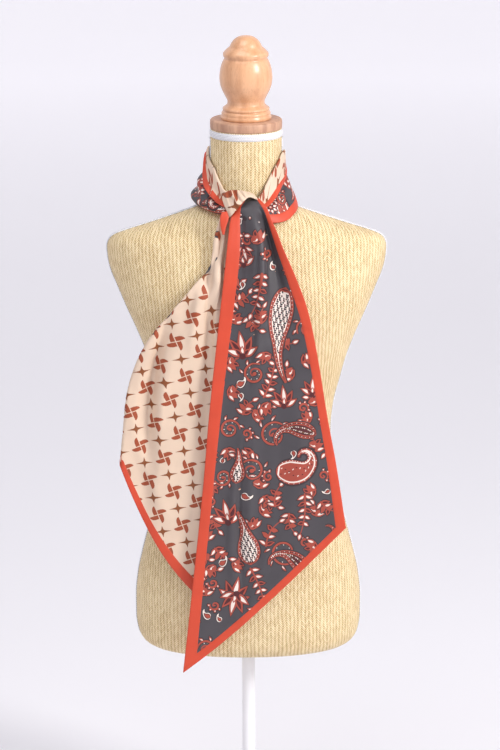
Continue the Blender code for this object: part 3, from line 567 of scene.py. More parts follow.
def form_point(height, angle):
    """A point of the dress form in millimetres: the angle runs from +X towards the back."""
    power = 2 / FULLNESS(height)
    depth = BACK_DEPTH(height) if math.sin(angle) > 0 else FRONT_DEPTH(height)
    x = HALF_WIDTH(height) * signed_power(math.cos(angle), power)
    y = depth * signed_power(math.sin(angle), power)
    f = min(max((height - TILT_STARTS) / (NECK_TOP - TILT_STARTS), 0), 1)
    rise = y * math.tan(math.radians(NECK_TILT)) * f * f * (3 - 2 * f)
    return Vector((x, y, FORM_BOTTOM + height + rise))


def form_normal(height, angle):
    across = form_point(height, angle + 0.01) - form_point(height, angle - 0.01)
    up = form_point(height + 0.5, angle) - form_point(height - 0.5, angle)
    return across.cross(up).normalized()


def build_body():
    """The padded body with its straw cloth laid in upright columns from the middle outwards."""
    heights = []
    for low, high in zip(FORM_SECTIONS, FORM_SECTIONS[1:]):
        count = max(2, round((high[0] - low[0]) / RING_SPACING))
        heights += steps_between(low[0], high[0], count)[:-1]
    heights.append(NECK_TOP)
    segments = BODY_SEGMENTS
    points, flat = [], []
    climbed = 0.0
    before = None
    for height in heights:
        ring = [form_point(height, 2 * math.pi * (i + 0.5) / segments) for i in range(segments)]
        if before is not None:
            quarter = [3 * segments // 4, segments // 4]
            climbed += sum((ring[i] - before[i]).length for i in quarter) / 2
        before = ring
        lengths = [0.0]
        for a, b in zip(ring, ring[1:] + ring[:1]):
            lengths.append(lengths[-1] + (b - a).length)
        total = lengths[-1]
        for i, point in enumerate(ring):
            place = lengths[i] + (ring[0] - ring[-1]).length / 2
            share = place / total
            middle = 0.75 if share > 0.5 else 0.25
            points.append(point)
            flat.append(((share - middle) * total + 1000 * middle, climbed))
    body = add_piece("straw_body", points, capped(segments, len(heights)), [STRAW], flat)
    body.data.set_sharp_from_angle(angle=math.radians(40))
    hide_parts("form_body")


def round_reach(height, angle):
    """How many millimetres round the form a radian of the angle covers."""
    return (form_point(height, angle + 0.02) - form_point(height, angle - 0.02)).length / 0.04


def build_neck_tape():
    """White knitted tape round the top of the neck."""
    points, flat = [], []
    for share, lift in NECK_TAPE_SHAPE:
        for i in range(TAPE_SEGMENTS):
            angle = 2 * math.pi * i / TAPE_SEGMENTS
            outward = Vector((math.cos(angle), math.sin(angle), 0))
            height = NECK_TOP - NECK_TRIM_WIDTH + share * (NECK_TRIM_WIDTH - 1)
            points.append(form_point(height, angle) + outward * (0.1 + lift))
            knits = i * NECK_KNITS / TAPE_SEGMENTS
            flat.append((knits * 2 * KNIT_LEG, share * NECK_TRIM_WIDTH))
    faces = ring_faces(TAPE_SEGMENTS, len(NECK_TAPE_SHAPE))
    trim = add_piece("neck_tape", points, faces, [TAPE], flat)
    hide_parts("neck_trim")


def build_side_tape(name, side):
    """The same tape up a side seam and over the shoulder, at the side's angle."""
    points, flat = [], []
    heights = steps_between(4, NECK_TOP - NECK_TRIM_WIDTH - 2, 240)
    walked, before = 0.0, form_point(heights[0], side)
    for height in heights:
        half = SIDE_TRIM_WIDTH / 2 / round_reach(height, side)
        middle = form_point(height, side)
        walked += (middle - before).length
        before = middle
        for share, lift in SIDE_TAPE_SHAPE:
            angle = side + share * half
            points.append(form_point(height, angle) + form_normal(height, angle) * lift)
            flat.append((share * SIDE_TRIM_WIDTH / 2 + 5, walked))
    faces = ring_faces(len(SIDE_TAPE_SHAPE), len(heights), closed=False)
    tape = add_piece("side_tape_" + name, points, faces, [TAPE], flat)
    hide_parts("side_trim_" + name)


def build_side_stitches():
    """A row of dark stitches beside each side tape, in front and behind."""
    points, faces = [], []
    for side, way, height in itertools.product((0.0, math.pi), (-1, 1), SEAM_HEIGHTS):
        beside = way * (SIDE_TRIM_WIDTH / 2 + SEAM_BESIDE)
        angle = side + beside / round_reach(height, side)
        low, high = form_point(height, angle), form_point(height + SEAM_STITCH, angle)
        away = form_normal(height, angle)
        aside = away.cross(high - low).normalized() * 0.35
        faces += [(k, k + 1, k + 4, k + 3) for k in (len(points), len(points) + 1)]
        for point in (low, high):
            points.extend((point - aside, point + away * 0.45, point + aside))
    dark = cloth_material("stitching", (0.20, 0.15, 0.08), 0.8, 0.2, 0.0)
    seams = add_piece("side_stitches", points, faces, [dark], [(p[0], p[2]) for p in points])


def build_stand():
    """The turned wood on the neck, and the white pole and base plate."""
    cap = Matrix.Translation((0, 0, (FORM_BOTTOM + NECK_TOP) * MM)) @ Matrix.Rotation(
        math.radians(NECK_TILT), 4, "X"
    )
    disc_profile = (
        (0.3, 5.0), (0.3, DISC_RADIUS - 0.8), (0.6, DISC_RADIUS - 0.3), (1.2, DISC_RADIUS),
        (DISC_THICK / 2, DISC_RADIUS + 0.1), (DISC_THICK - 2.2, DISC_RADIUS),
        (DISC_THICK - 1.2, DISC_RADIUS - 0.3), (DISC_THICK - 0.4, DISC_RADIUS - 1.1),
        (DISC_THICK, DISC_RADIUS - 2.2), (DISC_THICK, 5.0),
    )
    disc = lathe("wood_disc", disc_profile, 128, PLAIN_WOOD, cap, sharp=50)
    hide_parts("neck_disc")
    top = cap @ Matrix.Translation((0, 0, DISC_THICK * MM))
    finial = lathe("wood_finial", smooth_profile(FINIAL_PROFILE, 110), 128, GLOSSY_WOOD, top)
    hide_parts("finial")

    base_profile = (
        (0.0, BASE_RADIUS - 2), (0.6, BASE_RADIUS - 0.7), (2.0, BASE_RADIUS),
        (BASE_THICK - 3, BASE_RADIUS), (BASE_THICK - 0.9, BASE_RADIUS - 1.4),
        (BASE_THICK, BASE_RADIUS - 4), (BASE_THICK + 3, HUB_RADIUS + 12),
        (BASE_THICK + 4, HUB_RADIUS + 4), (BASE_THICK + 7, HUB_RADIUS),
        (HUB_HEIGHT - 2, HUB_RADIUS), (HUB_HEIGHT - 0.5, HUB_RADIUS - 0.7),
        (HUB_HEIGHT, HUB_RADIUS - 2.2), (HUB_HEIGHT, POLE_RADIUS + 0.3),
    )
    base = lathe("round_base", base_profile, 160, PAINT, close=False, sharp=40)
    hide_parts("base_plate")
    rise = FORM_BOTTOM + SOCKET_DEPTH - 0.3
    pole_profile = (
        (BASE_THICK + 0.3, POLE_RADIUS - 0.8), (BASE_THICK + 1.1, POLE_RADIUS),
        (rise / 2, POLE_RADIUS), (rise - 0.8, POLE_RADIUS), (rise, POLE_RADIUS - 0.8),
    )
    pole = lathe("white_pole", pole_profile, 96, PAINT, sharp=40)
    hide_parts("pole")


# Scarf surfaces, each from two parameters to a point in millimetres and its place in a flat view


def bow(share, depth, lean):
    """How far a slanted end hangs below the straight line between its corners."""
    return depth * 4 * share * (1 - share) * (1 - lean * (2 * share - 1))


FRONT_TABLE = columns(FRONT_STATIONS)
BACK_TABLE = columns(BACK_STATIONS)


def front_tail(across, along):
    """A point of the front tail, and where it lies in the tail's own flat view."""
    left_x, left_z, right_x, right_z, proud, *rest = [column(along) for column in FRONT_TABLE]
    across_x = curve(FRONT_LINES, [0.0] + rest[:5] + [1.0])(across)
    offset = curve(FRONT_LINES, rest[5:])(min(max(across, 0), 1))
    x = left_x + (right_x - left_x) * across_x
    z = left_z + (right_z - left_z) * across_x
    z -= bow(across_x, FRONT_BOW, FRONT_BOW_LEAN) * along**2
    return (x, -(proud + offset), z), (x, z)


def back_tail(across, along):
    """A point of the back tail, its left side turned under, and its place in the flat view."""
    left_x, left_z, right_x, right_z, left_proud, right_proud, *rest = [
        column(along) for column in BACK_TABLE
    ]
    lines = [0.0] + rest[:4] + [BACK_EDGING_AT, 1.0]
    turn = math.sin(max(min(across * SCARF_WIDTH / FOLD_RADIUS, math.pi / 2), -math.pi / 2))
    if across < 0:
        width = math.hypot(right_x - left_x, right_z - left_z)
        across_x = rest[8] / width * across / BACK_LINES[0]
    else:
        across_x = curve(BACK_LINES[2:], lines)(across)
    depth = curve(lines, [0.0] + rest[4:8] + [0.0, 0.0])(across_x)
    depth -= FOLD_RADIUS * (1 - turn) + FOLD_OPENS * min(max(across / BACK_LINES[0], 0), 1)

    def seen(share):
        x = left_x + (right_x - left_x) * share
        z = left_z + (right_z - left_z) * share
        return x, z - bow(share, BACK_BOW, BACK_BOW_LEAN) * along**2

    x, z = seen(across_x)
    proud = left_proud + (right_proud - left_proud) * across_x
    flat = seen(-across_x) if across < 0 else (x, z)
    return (x, -(proud + depth), z), flat


LOOP_TABLE = columns(LOOP_SECTIONS)


@functools.cache
def loop_section(azimuth):
    """The loop's radius and height by the length walked from its hem, and the whole length."""
    values = [column(azimuth) for column in LOOP_TABLE]
    fold, edge, *body = [values[i : i + 2] for i in range(0, len(values), 2)]
    leg = fold[0] + LOOP_FOLD, fold[1] - LOOP_FOLD
    rise = fold[0] - LOOP_FOLD, fold[1] - LOOP_FOLD
    stand = rise[0], (fold[1] + 2 * body[0][1]) / 3
    hip = leg[0] + FLAP_HIP * (edge[0] - leg[0]), edge[1] + FLAP_HIP * (leg[1] - edge[1])
    radius, height, walked = through(body[::-1] + [stand, rise, fold, leg, hip, edge])
    return radius, height, walked[-1]


def neck_loop(share, azimuth):
    """A point of the neck loop, at a share of its section's length from hem to flap."""
    radius_at, height_at, length = loop_section(azimuth)
    place = share * length
    radius, angle = radius_at(place), math.radians(azimuth)
    point = (radius * math.sin(angle), -radius * math.cos(angle), FORM_BOTTOM + height_at(place))
    return point, (azimuth * LOOP_REACH, place)


KNOT_TABLE = columns(KNOT_STATIONS)


def knot_wrap(across, down):
    """The gathered wrap over the knot, with creases that fan from its upper right."""
    values = [column(across) for column in KNOT_TABLE]
    top, belly, bottom = (Vector(values[i : i + 3]) for i in (0, 3, 6))
    f, g = down, 1 - down
    middle = belly * 2 - (top + bottom) / 2
    place = top * g * g + middle * 2 * f * g + bottom * f * f
    return tuple(place), (place.x, place.z + 6 * down)


TWIST_TABLE = columns(TWIST_STATIONS)


def knot_twist(across, down):
    left, right, z, proud = [column(down) for column in TWIST_TABLE]
    x = left + (right - left) * across
    return (x, -(proud + 2 * across * (1 - across)), z), (x, z)


def unit_normals(across, along):
    normal = np.cross(across, along)
    return normal / np.maximum(np.linalg.norm(normal, axis=-1, keepdims=True), 1e-9)


class Sheet:
    """A surface sampled on a fine grid, so that any of its points is quickly found."""

    def __init__(self, surface, us, vs, relief=None):
        self.lo = np.array((us[0], vs[0]), dtype=float)
        self.step = np.array(((us[1] - us[0]) / us[2], (vs[1] - vs[0]) / vs[2]))
        self.count = np.array((us[2] + 1, vs[2] + 1))
        grid = np.array(
            [[sum(surface(u, v), ()) for u in steps_between(*us)] for v in steps_between(*vs)]
        )
        self.grid = grid
        if relief is not None:
            normal = unit_normals(*[np.gradient(grid[..., :3], axis=axis) for axis in (1, 0)])
            grid[..., :3] += normal * relief(grid[..., 3], grid[..., 4])[..., None]
        self.tree = KDTree(self.count[0] * self.count[1])
        for k, flat in enumerate(grid[..., 3:].reshape(-1, 2)):
            self.tree.insert((flat[0], flat[1], 0), k)
        self.tree.balance()

    def at(self, uv):
        """Points and flat places at parameters, straight on past the grid's edges."""
        uv = np.asarray(uv, dtype=float)
        within = np.clip(uv, self.lo, self.lo + self.step * (self.count - 1))
        result = self.within(within)
        for axis in (0, 1):
            past = uv[:, axis] - within[:, axis]
            if np.any(past):
                inner = within.copy()
                inner[:, axis] -= np.sign(past) * self.step[axis]
                slope = (self.within(within) - self.within(inner)) / self.step[axis]
                result += slope * np.abs(past)[:, None]
        return result

    def within(self, uv):
        """The same inside the grid, by a smooth cubic."""
        place = (uv - self.lo) / self.step
        cell = np.clip(np.floor(place).astype(int), 0, self.count - 2)
        f = place - cell
        weights = (
            -0.5 * f + f**2 - 0.5 * f**3,
            1 - 2.5 * f**2 + 1.5 * f**3,
            0.5 * f + 2 * f**2 - 1.5 * f**3,
            -0.5 * f**2 + 0.5 * f**3,
        )
        result = np.zeros((len(uv), 5))
        for b in range(4):
            row = np.clip(cell[:, 1] + b - 1, 0, self.count[1] - 1)
            for a in range(4):
                column = np.clip(cell[:, 0] + a - 1, 0, self.count[0] - 1)
                weight = weights[a][:, 0] * weights[b][:, 1]
                result += self.grid[row, column] * weight[:, None]
        return result

    def normals(self, uv):
        uv = np.asarray(uv, dtype=float)
        half = np.diag(self.step * 0.5)
        return unit_normals(*[self.at(uv + h)[:, :3] - self.at(uv - h)[:, :3] for h in half])

    def find(self, flats):
        """The parameters at flat places: the nearest grid point, corrected by its slopes."""
        flats = np.asarray(flats, dtype=float)
        nearest = np.array([self.tree.find((x, z, 0))[1] for x, z in flats])
        i, j = nearest % self.count[0], nearest // self.count[0]
        a, b = (np.gradient(self.grid[..., 3:], axis=axis)[j, i] for axis in (1, 0))
        miss = flats - self.grid[j, i, 3:]
        size = a[:, 0] * b[:, 1] - a[:, 1] * b[:, 0]
        size = np.where(np.abs(size) < 1e-6, 1e-6, size)
        du = (miss[:, 0] * b[:, 1] - miss[:, 1] * b[:, 0]) / size
        dv = (a[:, 0] * miss[:, 1] - a[:, 1] * miss[:, 0]) / size
        return self.lo + self.step * np.stack([i + du, j + dv], axis=1)


# Motifs of the two prints, as closed outlines in millimetres with the colour of each


def turn(points, angle, x=0.0, z=0.0, flip=False):
    """Outline points mirrored, turned by an angle in degrees and moved."""
    c, s = math.cos(math.radians(angle)), math.sin(math.radians(angle))
    way = -1 if flip else 1
    return [(x + (way * px * c - pz * s), z + (way * px * s + pz * c)) for px, pz in points]


def ribbon(spine, widths):
    """The outline of a band along a line, with its half width at each point."""
    left, right = [], []
    for i, (x, z) in enumerate(spine):
        a, b = spine[max(i - 1, 0)], spine[min(i + 1, len(spine) - 1)]
        dx, dz = b[0] - a[0], b[1] - a[1]
        size = math.hypot(dx, dz) or 1.0
        nx, nz = -dz / size, dx / size
        left.append((x + nx * widths[i], z + nz * widths[i]))
        right.append((x - nx * widths[i], z - nz * widths[i]))
    return left + right[::-1]


def oval(x, z, a, b, angle=0.0, count=14):
    turns = [2 * math.pi * i / count for i in range(count)]
    return turn([(a * math.cos(t), b * math.sin(t)) for t in turns], angle, x, z)


def leaf(length, width, bend=0.0):
    """A pointed leaf from the origin along +X."""
    shares = steps_between(0, 1, 7)
    spine = [(length * t, bend * length * t * t) for t in shares]
    return ribbon(spine, [width / 2 * math.sin(math.pi * t**0.8) + 0.03 for t in shares])


def walk(length, bend, count, power):
    """A line whose direction turns by bend degrees in all, faster towards its end."""
    x = z = 0.0
    points = [(x, z)]
    for i in range(count):
        angle = math.radians(bend * ((i + 0.5) / count) ** power)
        x += length / count * math.cos(angle)
        z += length / count * math.sin(angle)
        points.append((x, z))
    return points


# A curled drop's width along its spine, as a share of its greatest
BOTEH_WIDTH = curve(
    [0.0, 0.03, 0.1, 0.24, 0.38, 0.54, 0.7, 0.85, 1.0],
    [0.04, 0.42, 0.78, 1.0, 0.9, 0.58, 0.34, 0.24, 0.1],
)
BOTEH_PITCH = 3.2

# Bands of each kind of curled drop, from the outside in: colour and distance from its outline
BOTEH_BANDS = {
    "lace": (("shadow", -1.7), ("rust", 0.0), ("maroon", 2.2), ("rust", 3.0), ("cream", 4.4)),
    "heart": (("shadow", -1.7), ("maroon", 0.0), ("rust", 1.2), ("cream", 3.2), ("rust", 5.2)),
    "leafy": (("shadow", -1.5), ("rust", 0.0), ("maroon", 1.4), ("rust", 3.0), ("maroon", 4.6)),
}


def part_of(spine, start, end, count):
    """A stretch of a line, between two shares of its length."""
    keys = [i / (len(spine) - 1) for i in range(len(spine))]
    x, z = curve(keys, [p[0] for p in spine]), curve(keys, [p[1] for p in spine])
    return [(x(t), z(t)) for t in steps_between(start, end, count)]


def heading(spine, share):
    """A place on a line and the line's direction there in degrees."""
    (x, z), (xb, zb) = part_of(spine, share, min(share + 0.02, 1), 1)
    return x, z, math.degrees(math.atan2(zb - z, xb - x))


def boteh(length, width, curl, style):
    """A curled drop: outline bands one inside the other, and a filling of its style."""
    spine = walk(length, curl, 40, 2.6)
    shapes = []
    for key, inset in BOTEH_BANDS[style]:
        trim = min(max(inset, 0.0) * 0.012, 0.08)
        span = (trim, 1 - 1.4 * trim, 30)
        widths = [max(width / 2 * BOTEH_WIDTH(t) - inset, 0.25) for t in steps_between(*span)]
        shapes.append((key, ribbon(part_of(spine, *span), widths)))
    for i in range(int(length / BOTEH_PITCH)):
        share = 0.06 + 0.86 * i * BOTEH_PITCH / length
        wide = width / 2 * BOTEH_WIDTH(share)
        x, z, angle = heading(spine, share)
        nx, nz = -math.sin(math.radians(angle)), math.cos(math.radians(angle))

        def dot(key, reach, a, b, lean=0.0):
            shapes.append((key, oval(x + nx * reach, z + nz * reach, a, b, angle + lean, 7)))

        for side in (-1, 1):
            dot("cream" if i % 2 else "rust", (wide - 2.0) * side, 0.8, 0.5)
        room = wide - 5.0
        if room < 0.6:
            if wide > 2.6:
                dot("cream", 0.0, 1.1, 0.7)
        elif style == "lace":
            rows = int(room / 2.9)
            for k in range(-rows, rows + 1):
                wander = 1.1 * math.sin(5.1 * i + 3.7 * k)
                reach = k * room / (rows + 0.4) + wander
                key = ("black", "maroon", "black")[(i + k) % 3]
                dot(key, reach, 1.6 + 0.4 * wander, 1.1, 50 * wander)
        elif style == "heart":
            if i % 2:
                dot("cream", 0.45 * room * math.sin(i * 1.9), 1.5, 0.7, 40)
                dot("maroon", -0.5 * room * math.sin(i * 1.9), 1.2, 0.8)
        else:
            for side in (-1, 1):
                dot("cream" if (i + side) % 3 else "gold", room * 0.5 * side, 1.2, 0.7, 30 * side)
    return shapes


def scroll(radius, turns, beads=True):
    """A spiral stem with a knob in the middle, beads along it and small leaves outside."""
    count = int(26 * turns)
    spine, widths = [], []
    for i in range(count + 1):
        t = i / count
        angle = 2 * math.pi * turns * t
        r = radius * (0.2 + 0.8 * t**0.8)
        spine.append((r * math.cos(angle), r * math.sin(angle)))
        widths.append(0.8 + 0.75 * min(t * 1.5, 1.0) * (1 - 0.7 * max(t - 0.8, 0) / 0.2))
    outer = count // 3
    shapes = [
        ("shadow", ribbon(spine[outer:], [w + 1.2 for w in widths[outer:]])),
        ("rust", ribbon(spine, widths)),
        ("rust", oval(0, 0, radius * 0.2, radius * 0.17, 20, 10)),
    ]
    for i in range(4, count - 2, 2) if beads else ():
        x, z = spine[i]
        r = math.hypot(x, z)
        inner = (r - 3.0) / r
        if r > radius * 0.55:
            bead = oval(x * inner, z * inner, 0.9, 0.6, 0, 6)
            shapes.append(("cream" if i % 4 else "gold", bead))
    for i in range(4):
        angle = 360 * turns - 20 - 48 * i
        x, z = turn([(radius * 1.04, 0)], angle)[0]
        for key, reach, width in (("rust", 0.5, 3.6), ("cream", 0.32, 1.5)):
            shapes.append((key, turn(leaf(radius * reach, width, 0.3), angle + 28, x, z)))
    return shapes


def leaves(x, z, angle, reach, width, bend, heart):
    """A leaf with a heart of another colour."""
    (hx, hz), = turn([(0.18 * reach, 0)], angle, x, z)
    return [
        ("rust", turn(leaf(reach, width, bend), angle, x, z)),
        (heart, turn(leaf(reach * 0.66, width * 0.5, bend), angle, hx, hz)),
    ]


def spray(length, bend, pairs, hearts=("cream", "maroon", "rust")):
    """A curved stem with pairs of leaves and a bud at its tip."""
    spine = walk(length, bend, 26, 1.2)
    shapes = [("rust", ribbon(spine, [1.1 - 0.5 * i / 26 for i in range(27)]))]
    for k in range(pairs):
        x, z, angle = heading(spine, 0.04 + 0.84 * k / pairs)
        reach = 12.5 - 4.6 * k / pairs
        for side in (-1, 1):
            heart = hearts[(2 * k + (side > 0)) % len(hearts)]
            shapes += leaves(x, z, angle + 46 * side, reach, 6.2, 0.3 * side, heart)
    x, z = spine[-1]
    return shapes + leaves(x, z, bend, 11, 6.4, 0.1, "cream")


def fan(size, spread, blades):
    """Leaves spread from one root, as in a half-open flower."""
    shapes = []
    for k in range(blades):
        angle = spread * (2 * k / (blades - 1) - 1)
        reach = size * (1 - 0.3 * abs(angle) / spread)
        shapes += leaves(0, 0, angle, reach, size * 0.3, 0.1, ("cream", "maroon")[k % 2])
    for k in range(3):
        angle = spread * 0.7 * (k - 1)
        shapes += leaves(0, 0, angle, size * 0.42, size * 0.2, 0.0, ("maroon", "cream")[k % 2])
    shapes.append(("maroon", oval(0, 0, size * 0.13, size * 0.13, 0, 10)))
    return shapes


def bloom(radius, petals):
    """A round flower with two rows of petals and a dotted middle."""
    shapes = []
    for k in range(petals):
        shapes += leaves(0, 0, 360 * k / petals, radius * 1.1, radius * 0.62, 0.0, "cream")
    for k in range(petals):
        angle = 360 * (k + 0.5) / petals
        shapes.append(("maroon", turn(leaf(radius * 0.6, radius * 0.4), angle)))
    shapes.append(("rust", oval(0, 0, radius * 0.28, radius * 0.28)))
    shapes.append(("cream", oval(0, 0, radius * 0.13, radius * 0.13, 0, 9)))
    return shapes


def drop(length):
    """A small open drop with a pale rim and a rust heart."""
    spine = walk(length, 110, 18, 2.2)
    shapes = []
    for key, inset in (("shadow", -1.2), ("cream", 0.0), ("maroon", 1.3), ("rust", 2.4)):
        shares = steps_between(0.0, 1.0, 18)
        widths = [max(length * 0.3 * BOTEH_WIDTH(t) - inset, 0.12) for t in shares]
        keep = 19 if inset <= 0 else 13
        shapes.append((key, ribbon(spine[:keep], widths[:keep])))
    return shapes


MOTIFS = {
    "long": lambda size: boteh(size, size * 0.24, 40, "lace"),
    "tall": lambda size: boteh(size, size * 0.4, 25, "lace"),
    "fat": lambda size: boteh(size, size * 0.4, 300, "heart"),
    "leafy": lambda size: boteh(size, size * 0.3, 150, "leafy"),
    "scroll": lambda size: scroll(size, 1.5),
    "curl": lambda size: scroll(size, 1.15, False),
    "spray": lambda size: spray(size, 50, 3),
    "chain": lambda size: spray(size, -25, 5, ("cream", "cream", "maroon")),
    "fan": lambda size: fan(size, 62, 5),
    "bloom": lambda size: bloom(size, 8),
    "drop": drop,
}

# The paisley on the front tail, by motif: x and z of its place there, size, angle, mirrored
FRONT_LAYOUT = {
    "spray": (
        (-20, 796, 26, 5, 0), (2, 778, 24, -75, 0), (20, 768, 22, -70, 1), (8, 590, 26, 40, 1),
        (21, 526, 26, -62, 0), (38, 510, 30, -78, 1), (57, 502, 28, -100, 0),
        (100, 518, 24, -60, 0), (74, 712, 24, 20, 0), (25, 454, 40, -95, 1), (42, 400, 20, -60, 0),
        (-22, 334, 22, 5, 0), (6, 336, 22, 25, 0), (62, 690, 18, -40, 1), (-46, 500, 24, -100, 0),
        (-46, 452, 26, -60, 0), (86, 400, 20, 200, 0), (-6, 640, 24, -100, 1), (94, 588, 18, 80, 0),
        (40, 742, 22, -30, 0),
    ),
    "fan": (
        (-4, 846, 28, 100, 0), (-6, 722, 36, 92, 0), (50, 652, 30, 88, 0), (88, 668, 26, 82, 0),
        (-27, 488, 34, 96, 0), (-22, 376, 36, 70, 0), (-16, 386, 34, -110, 0),
        (-4, 870, 20, -80, 0),
    ),
    "chain": (
        (20, 838, 58, -92, 0), (78, 530, 58, -84, 0), (3, 424, 62, -60, 0), (22, 664, 54, -118, 1),
    ),
    "scroll": (
        (10, 698, 15, 60, 1), (82, 760, 15, 30, 0), (-24, 620, 14, 0, 1), (-58, 306, 13, 0, 0),
        (36, 612, 19, 30, 1), (6, 562, 17, 0, 0), (50, 446, 19, 150, 0), (-34, 552, 12, 200, 1),
    ),
    "leafy": (
        (94, 612, 74, 158, 0), (84, 414, 76, 128, 0), (110, 450, 44, 58, 0), (16, 914, 30, -75, 0),
    ),
    "tall": ((-16, 544, 50, 80, 0), (4, 428, 78, 97, 0)),
    "long": ((53, 816, 134, -101, 0),),
    "fat": ((38, 562, 92, -8, 0),),
    "drop": (
        (-14, 682, 18, 15, 0), (-8, 528, 18, -35, 0), (-52, 352, 17, -20, 1), (-40, 428, 18, 20, 0),
        (62, 590, 14, 110, 1),
    ),
}
GAP_START = (-104, 290)
GAP_COUNT = (14, 34)
GAP_PITCH = 19
GAP_ROOM = 6.5
# Motif and size of what fills the gaps
GAP_FILLERS = (("spray", 17), ("drop", 13), ("spray", 14), ("curl", 7))


def grown(points, by):
    """An outline with its points moved away from its middle."""
    line = np.array(points)
    out = line - line.mean(axis=0)
    return line + out * by / np.maximum(np.linalg.norm(out, axis=1), 0.5)[:, None]


def placed(name, x, z, size, angle, flip):
    """A motif in its place, with a dark rim round its leaves."""
    shapes = MOTIFS[name](size)
    leafy = [points for key, points in shapes if key == "rust" and len(points) < 20]
    rims = [("shadow", grown(points, 1.5)) for points in leafy]
    return [(key, turn(points, angle, x, z, flip)) for key, points in rims + shapes]


def front_paisley():
    """The motifs of the layout, over small sprays and drops that fill the gaps between them."""
    main = []
    for name, rows in FRONT_LAYOUT.items():
        for row in rows:
            main += placed(name, *row)
    taken = KDTree(sum(len(points) for _, points in main))
    for _, points in main:
        for x, z in points:
            taken.insert((x, z, 0), 0)
    taken.balance()
    chance = random.Random(17)
    shapes = []
    for j in range(GAP_COUNT[1]):
        for i in range(GAP_COUNT[0]):
            x = GAP_START[0] + GAP_PITCH * (i + 0.5 * (j % 2)) + chance.uniform(-3, 3)
            z = GAP_START[1] + GAP_PITCH * j + chance.uniform(-3, 3)
            if taken.find((x, z, 0))[2] > GAP_ROOM:
                name, size = GAP_FILLERS[(i + 2 * j) % 4]
                shapes += placed(name, x, z, size, chance.uniform(0, 360), i % 2)
    return shapes + main


STREWN_PITCH = 33
# Motif and size of each that is strewn over the stretches seen less
STREWN = (
    ("spray", 26), ("scroll", 15), ("leafy", 60), ("fan", 30), ("chain", 48), ("drop", 18),
    ("fat", 76), ("curl", 10), ("tall", 54), ("bloom", 13), ("long", 84),
)


def scattered(box, seed, scale=1.0):
    """Paisley motifs strewn evenly over a box of the flat view, for stretches seen less."""
    chance = random.Random(seed)
    shapes = []
    pitch = STREWN_PITCH * scale
    rows, count = int((box[3] - box[1]) / pitch) + 1, int((box[2] - box[0]) / pitch) + 1
    for j in range(rows + 1):
        for i in range(count + 1):
            name, size = STREWN[(i * 4 + j * 7 + chance.randrange(3)) % len(STREWN)]
            x = box[0] + (i + 0.5 * (j % 2)) * pitch + chance.uniform(-4, 4)
            z = box[1] + j * pitch + chance.uniform(-4, 4)
            size = size * scale * chance.uniform(0.85, 1.05)
            shapes += placed(name, x, z, size, chance.uniform(0, 360), chance.random() < 0.5)
    return shapes


def pinwheel(x, z, angle):
    """Four blades with straight inner and bowed outer sides, round a pale cross."""
    inner, outer = [(0.6, 0.5), (6.5, 0.5), (12.6, 0.9), (12.9, 1.9)], [(11.6, 4.0), (9.2, 5.6)]
    blade = inner + outer + [(6.0, 6.3), (0.6, 6.1)]
    return [("brown", turn(blade, angle + 90 * k, x, z)) for k in range(4)]


def star(x, z, angle):
    quarter = [(12.6, 0.0), (7.2, 0.75), (3.4, 1.5), (2.0, 2.3), (1.1, 4.4), (0.0, 8.4)]
    points = list(quarter)
    points += [(-px, pz) for px, pz in quarter[-2::-1]]
    points += [(-px, -pz) for px, pz in quarter[1:]]
    points += [(px, -pz) for px, pz in quarter[-2:0:-1]]
    return [("star", turn(points, angle, x, z))]


MOTIF_REACH = 14
MOTIF_TILT = 6


def pinwheels(box, origin=(-117.0, 706.3), down=(6.0, -24.0), over=(27.3, 9.5)):
    """Pinwheels and stars by turns on a slanting lattice, over a box of the flat view."""
    tilt = math.degrees(math.atan2(down[0], -down[1]))
    low, high, down, over = np.array((box[:2], box[2:], down, over))
    corners = np.array([(x, z) for x in (low[0], high[0]) for z in (low[1], high[1])]) - origin
    places = corners @ np.linalg.inv((down, over))
    (i0, j0), (i1, j1) = places.min(axis=0).astype(int) - 1, places.max(axis=0).astype(int) + 2
    shapes = []
    for i in range(i0, i1):
        for j in range(j0, j1):
            place = origin + i * down + j * over
            if (place > low - MOTIF_REACH).all() and (place < high + MOTIF_REACH).all():
                motif, way = (star, -1) if (i + j) % 2 else (pinwheel, 1)
                shapes += motif(*place, tilt + MOTIF_TILT * way)
    return shapes


def sides_of(region, count, rows):
    """The four sides of a region of parameters, one after another round it."""
    (u0, u1), (v0, v1) = region
    return (
        [(u, v0) for u in steps_between(u0, u1, count)],
        [(u1, v) for v in steps_between(v0, v1, rows)],
        [(u, v1) for u in steps_between(u1, u0, count)],
        [(u0, v) for v in steps_between(v1, v0, rows)],
    )


def length_round(line):
    return np.linalg.norm(np.roll(line, -1, axis=0) - line, axis=1).sum()


def wound(points, outline):
    """Which of the points a closed outline winds round."""
    x, z = points[:, :1], points[:, 1:]
    (ax, az), (bx, bz) = outline.T, np.roll(outline, -1, axis=0).T
    left = (bx - ax) * (z - az) - (x - ax) * (bz - az) > 0
    turns = ((az <= z) & (bz > z) & left).sum(axis=1)
    turns -= ((az > z) & (bz <= z) & ~left).sum(axis=1)
    return turns != 0


def between(places, low, high):
    return ((places > low) & (places < high)).all(axis=1)


# A motif that the surface squeezes or pulls more than this, against its flat size, is left out
LEAST_STRETCH, MOST_STRETCH = 0.35, 2.9


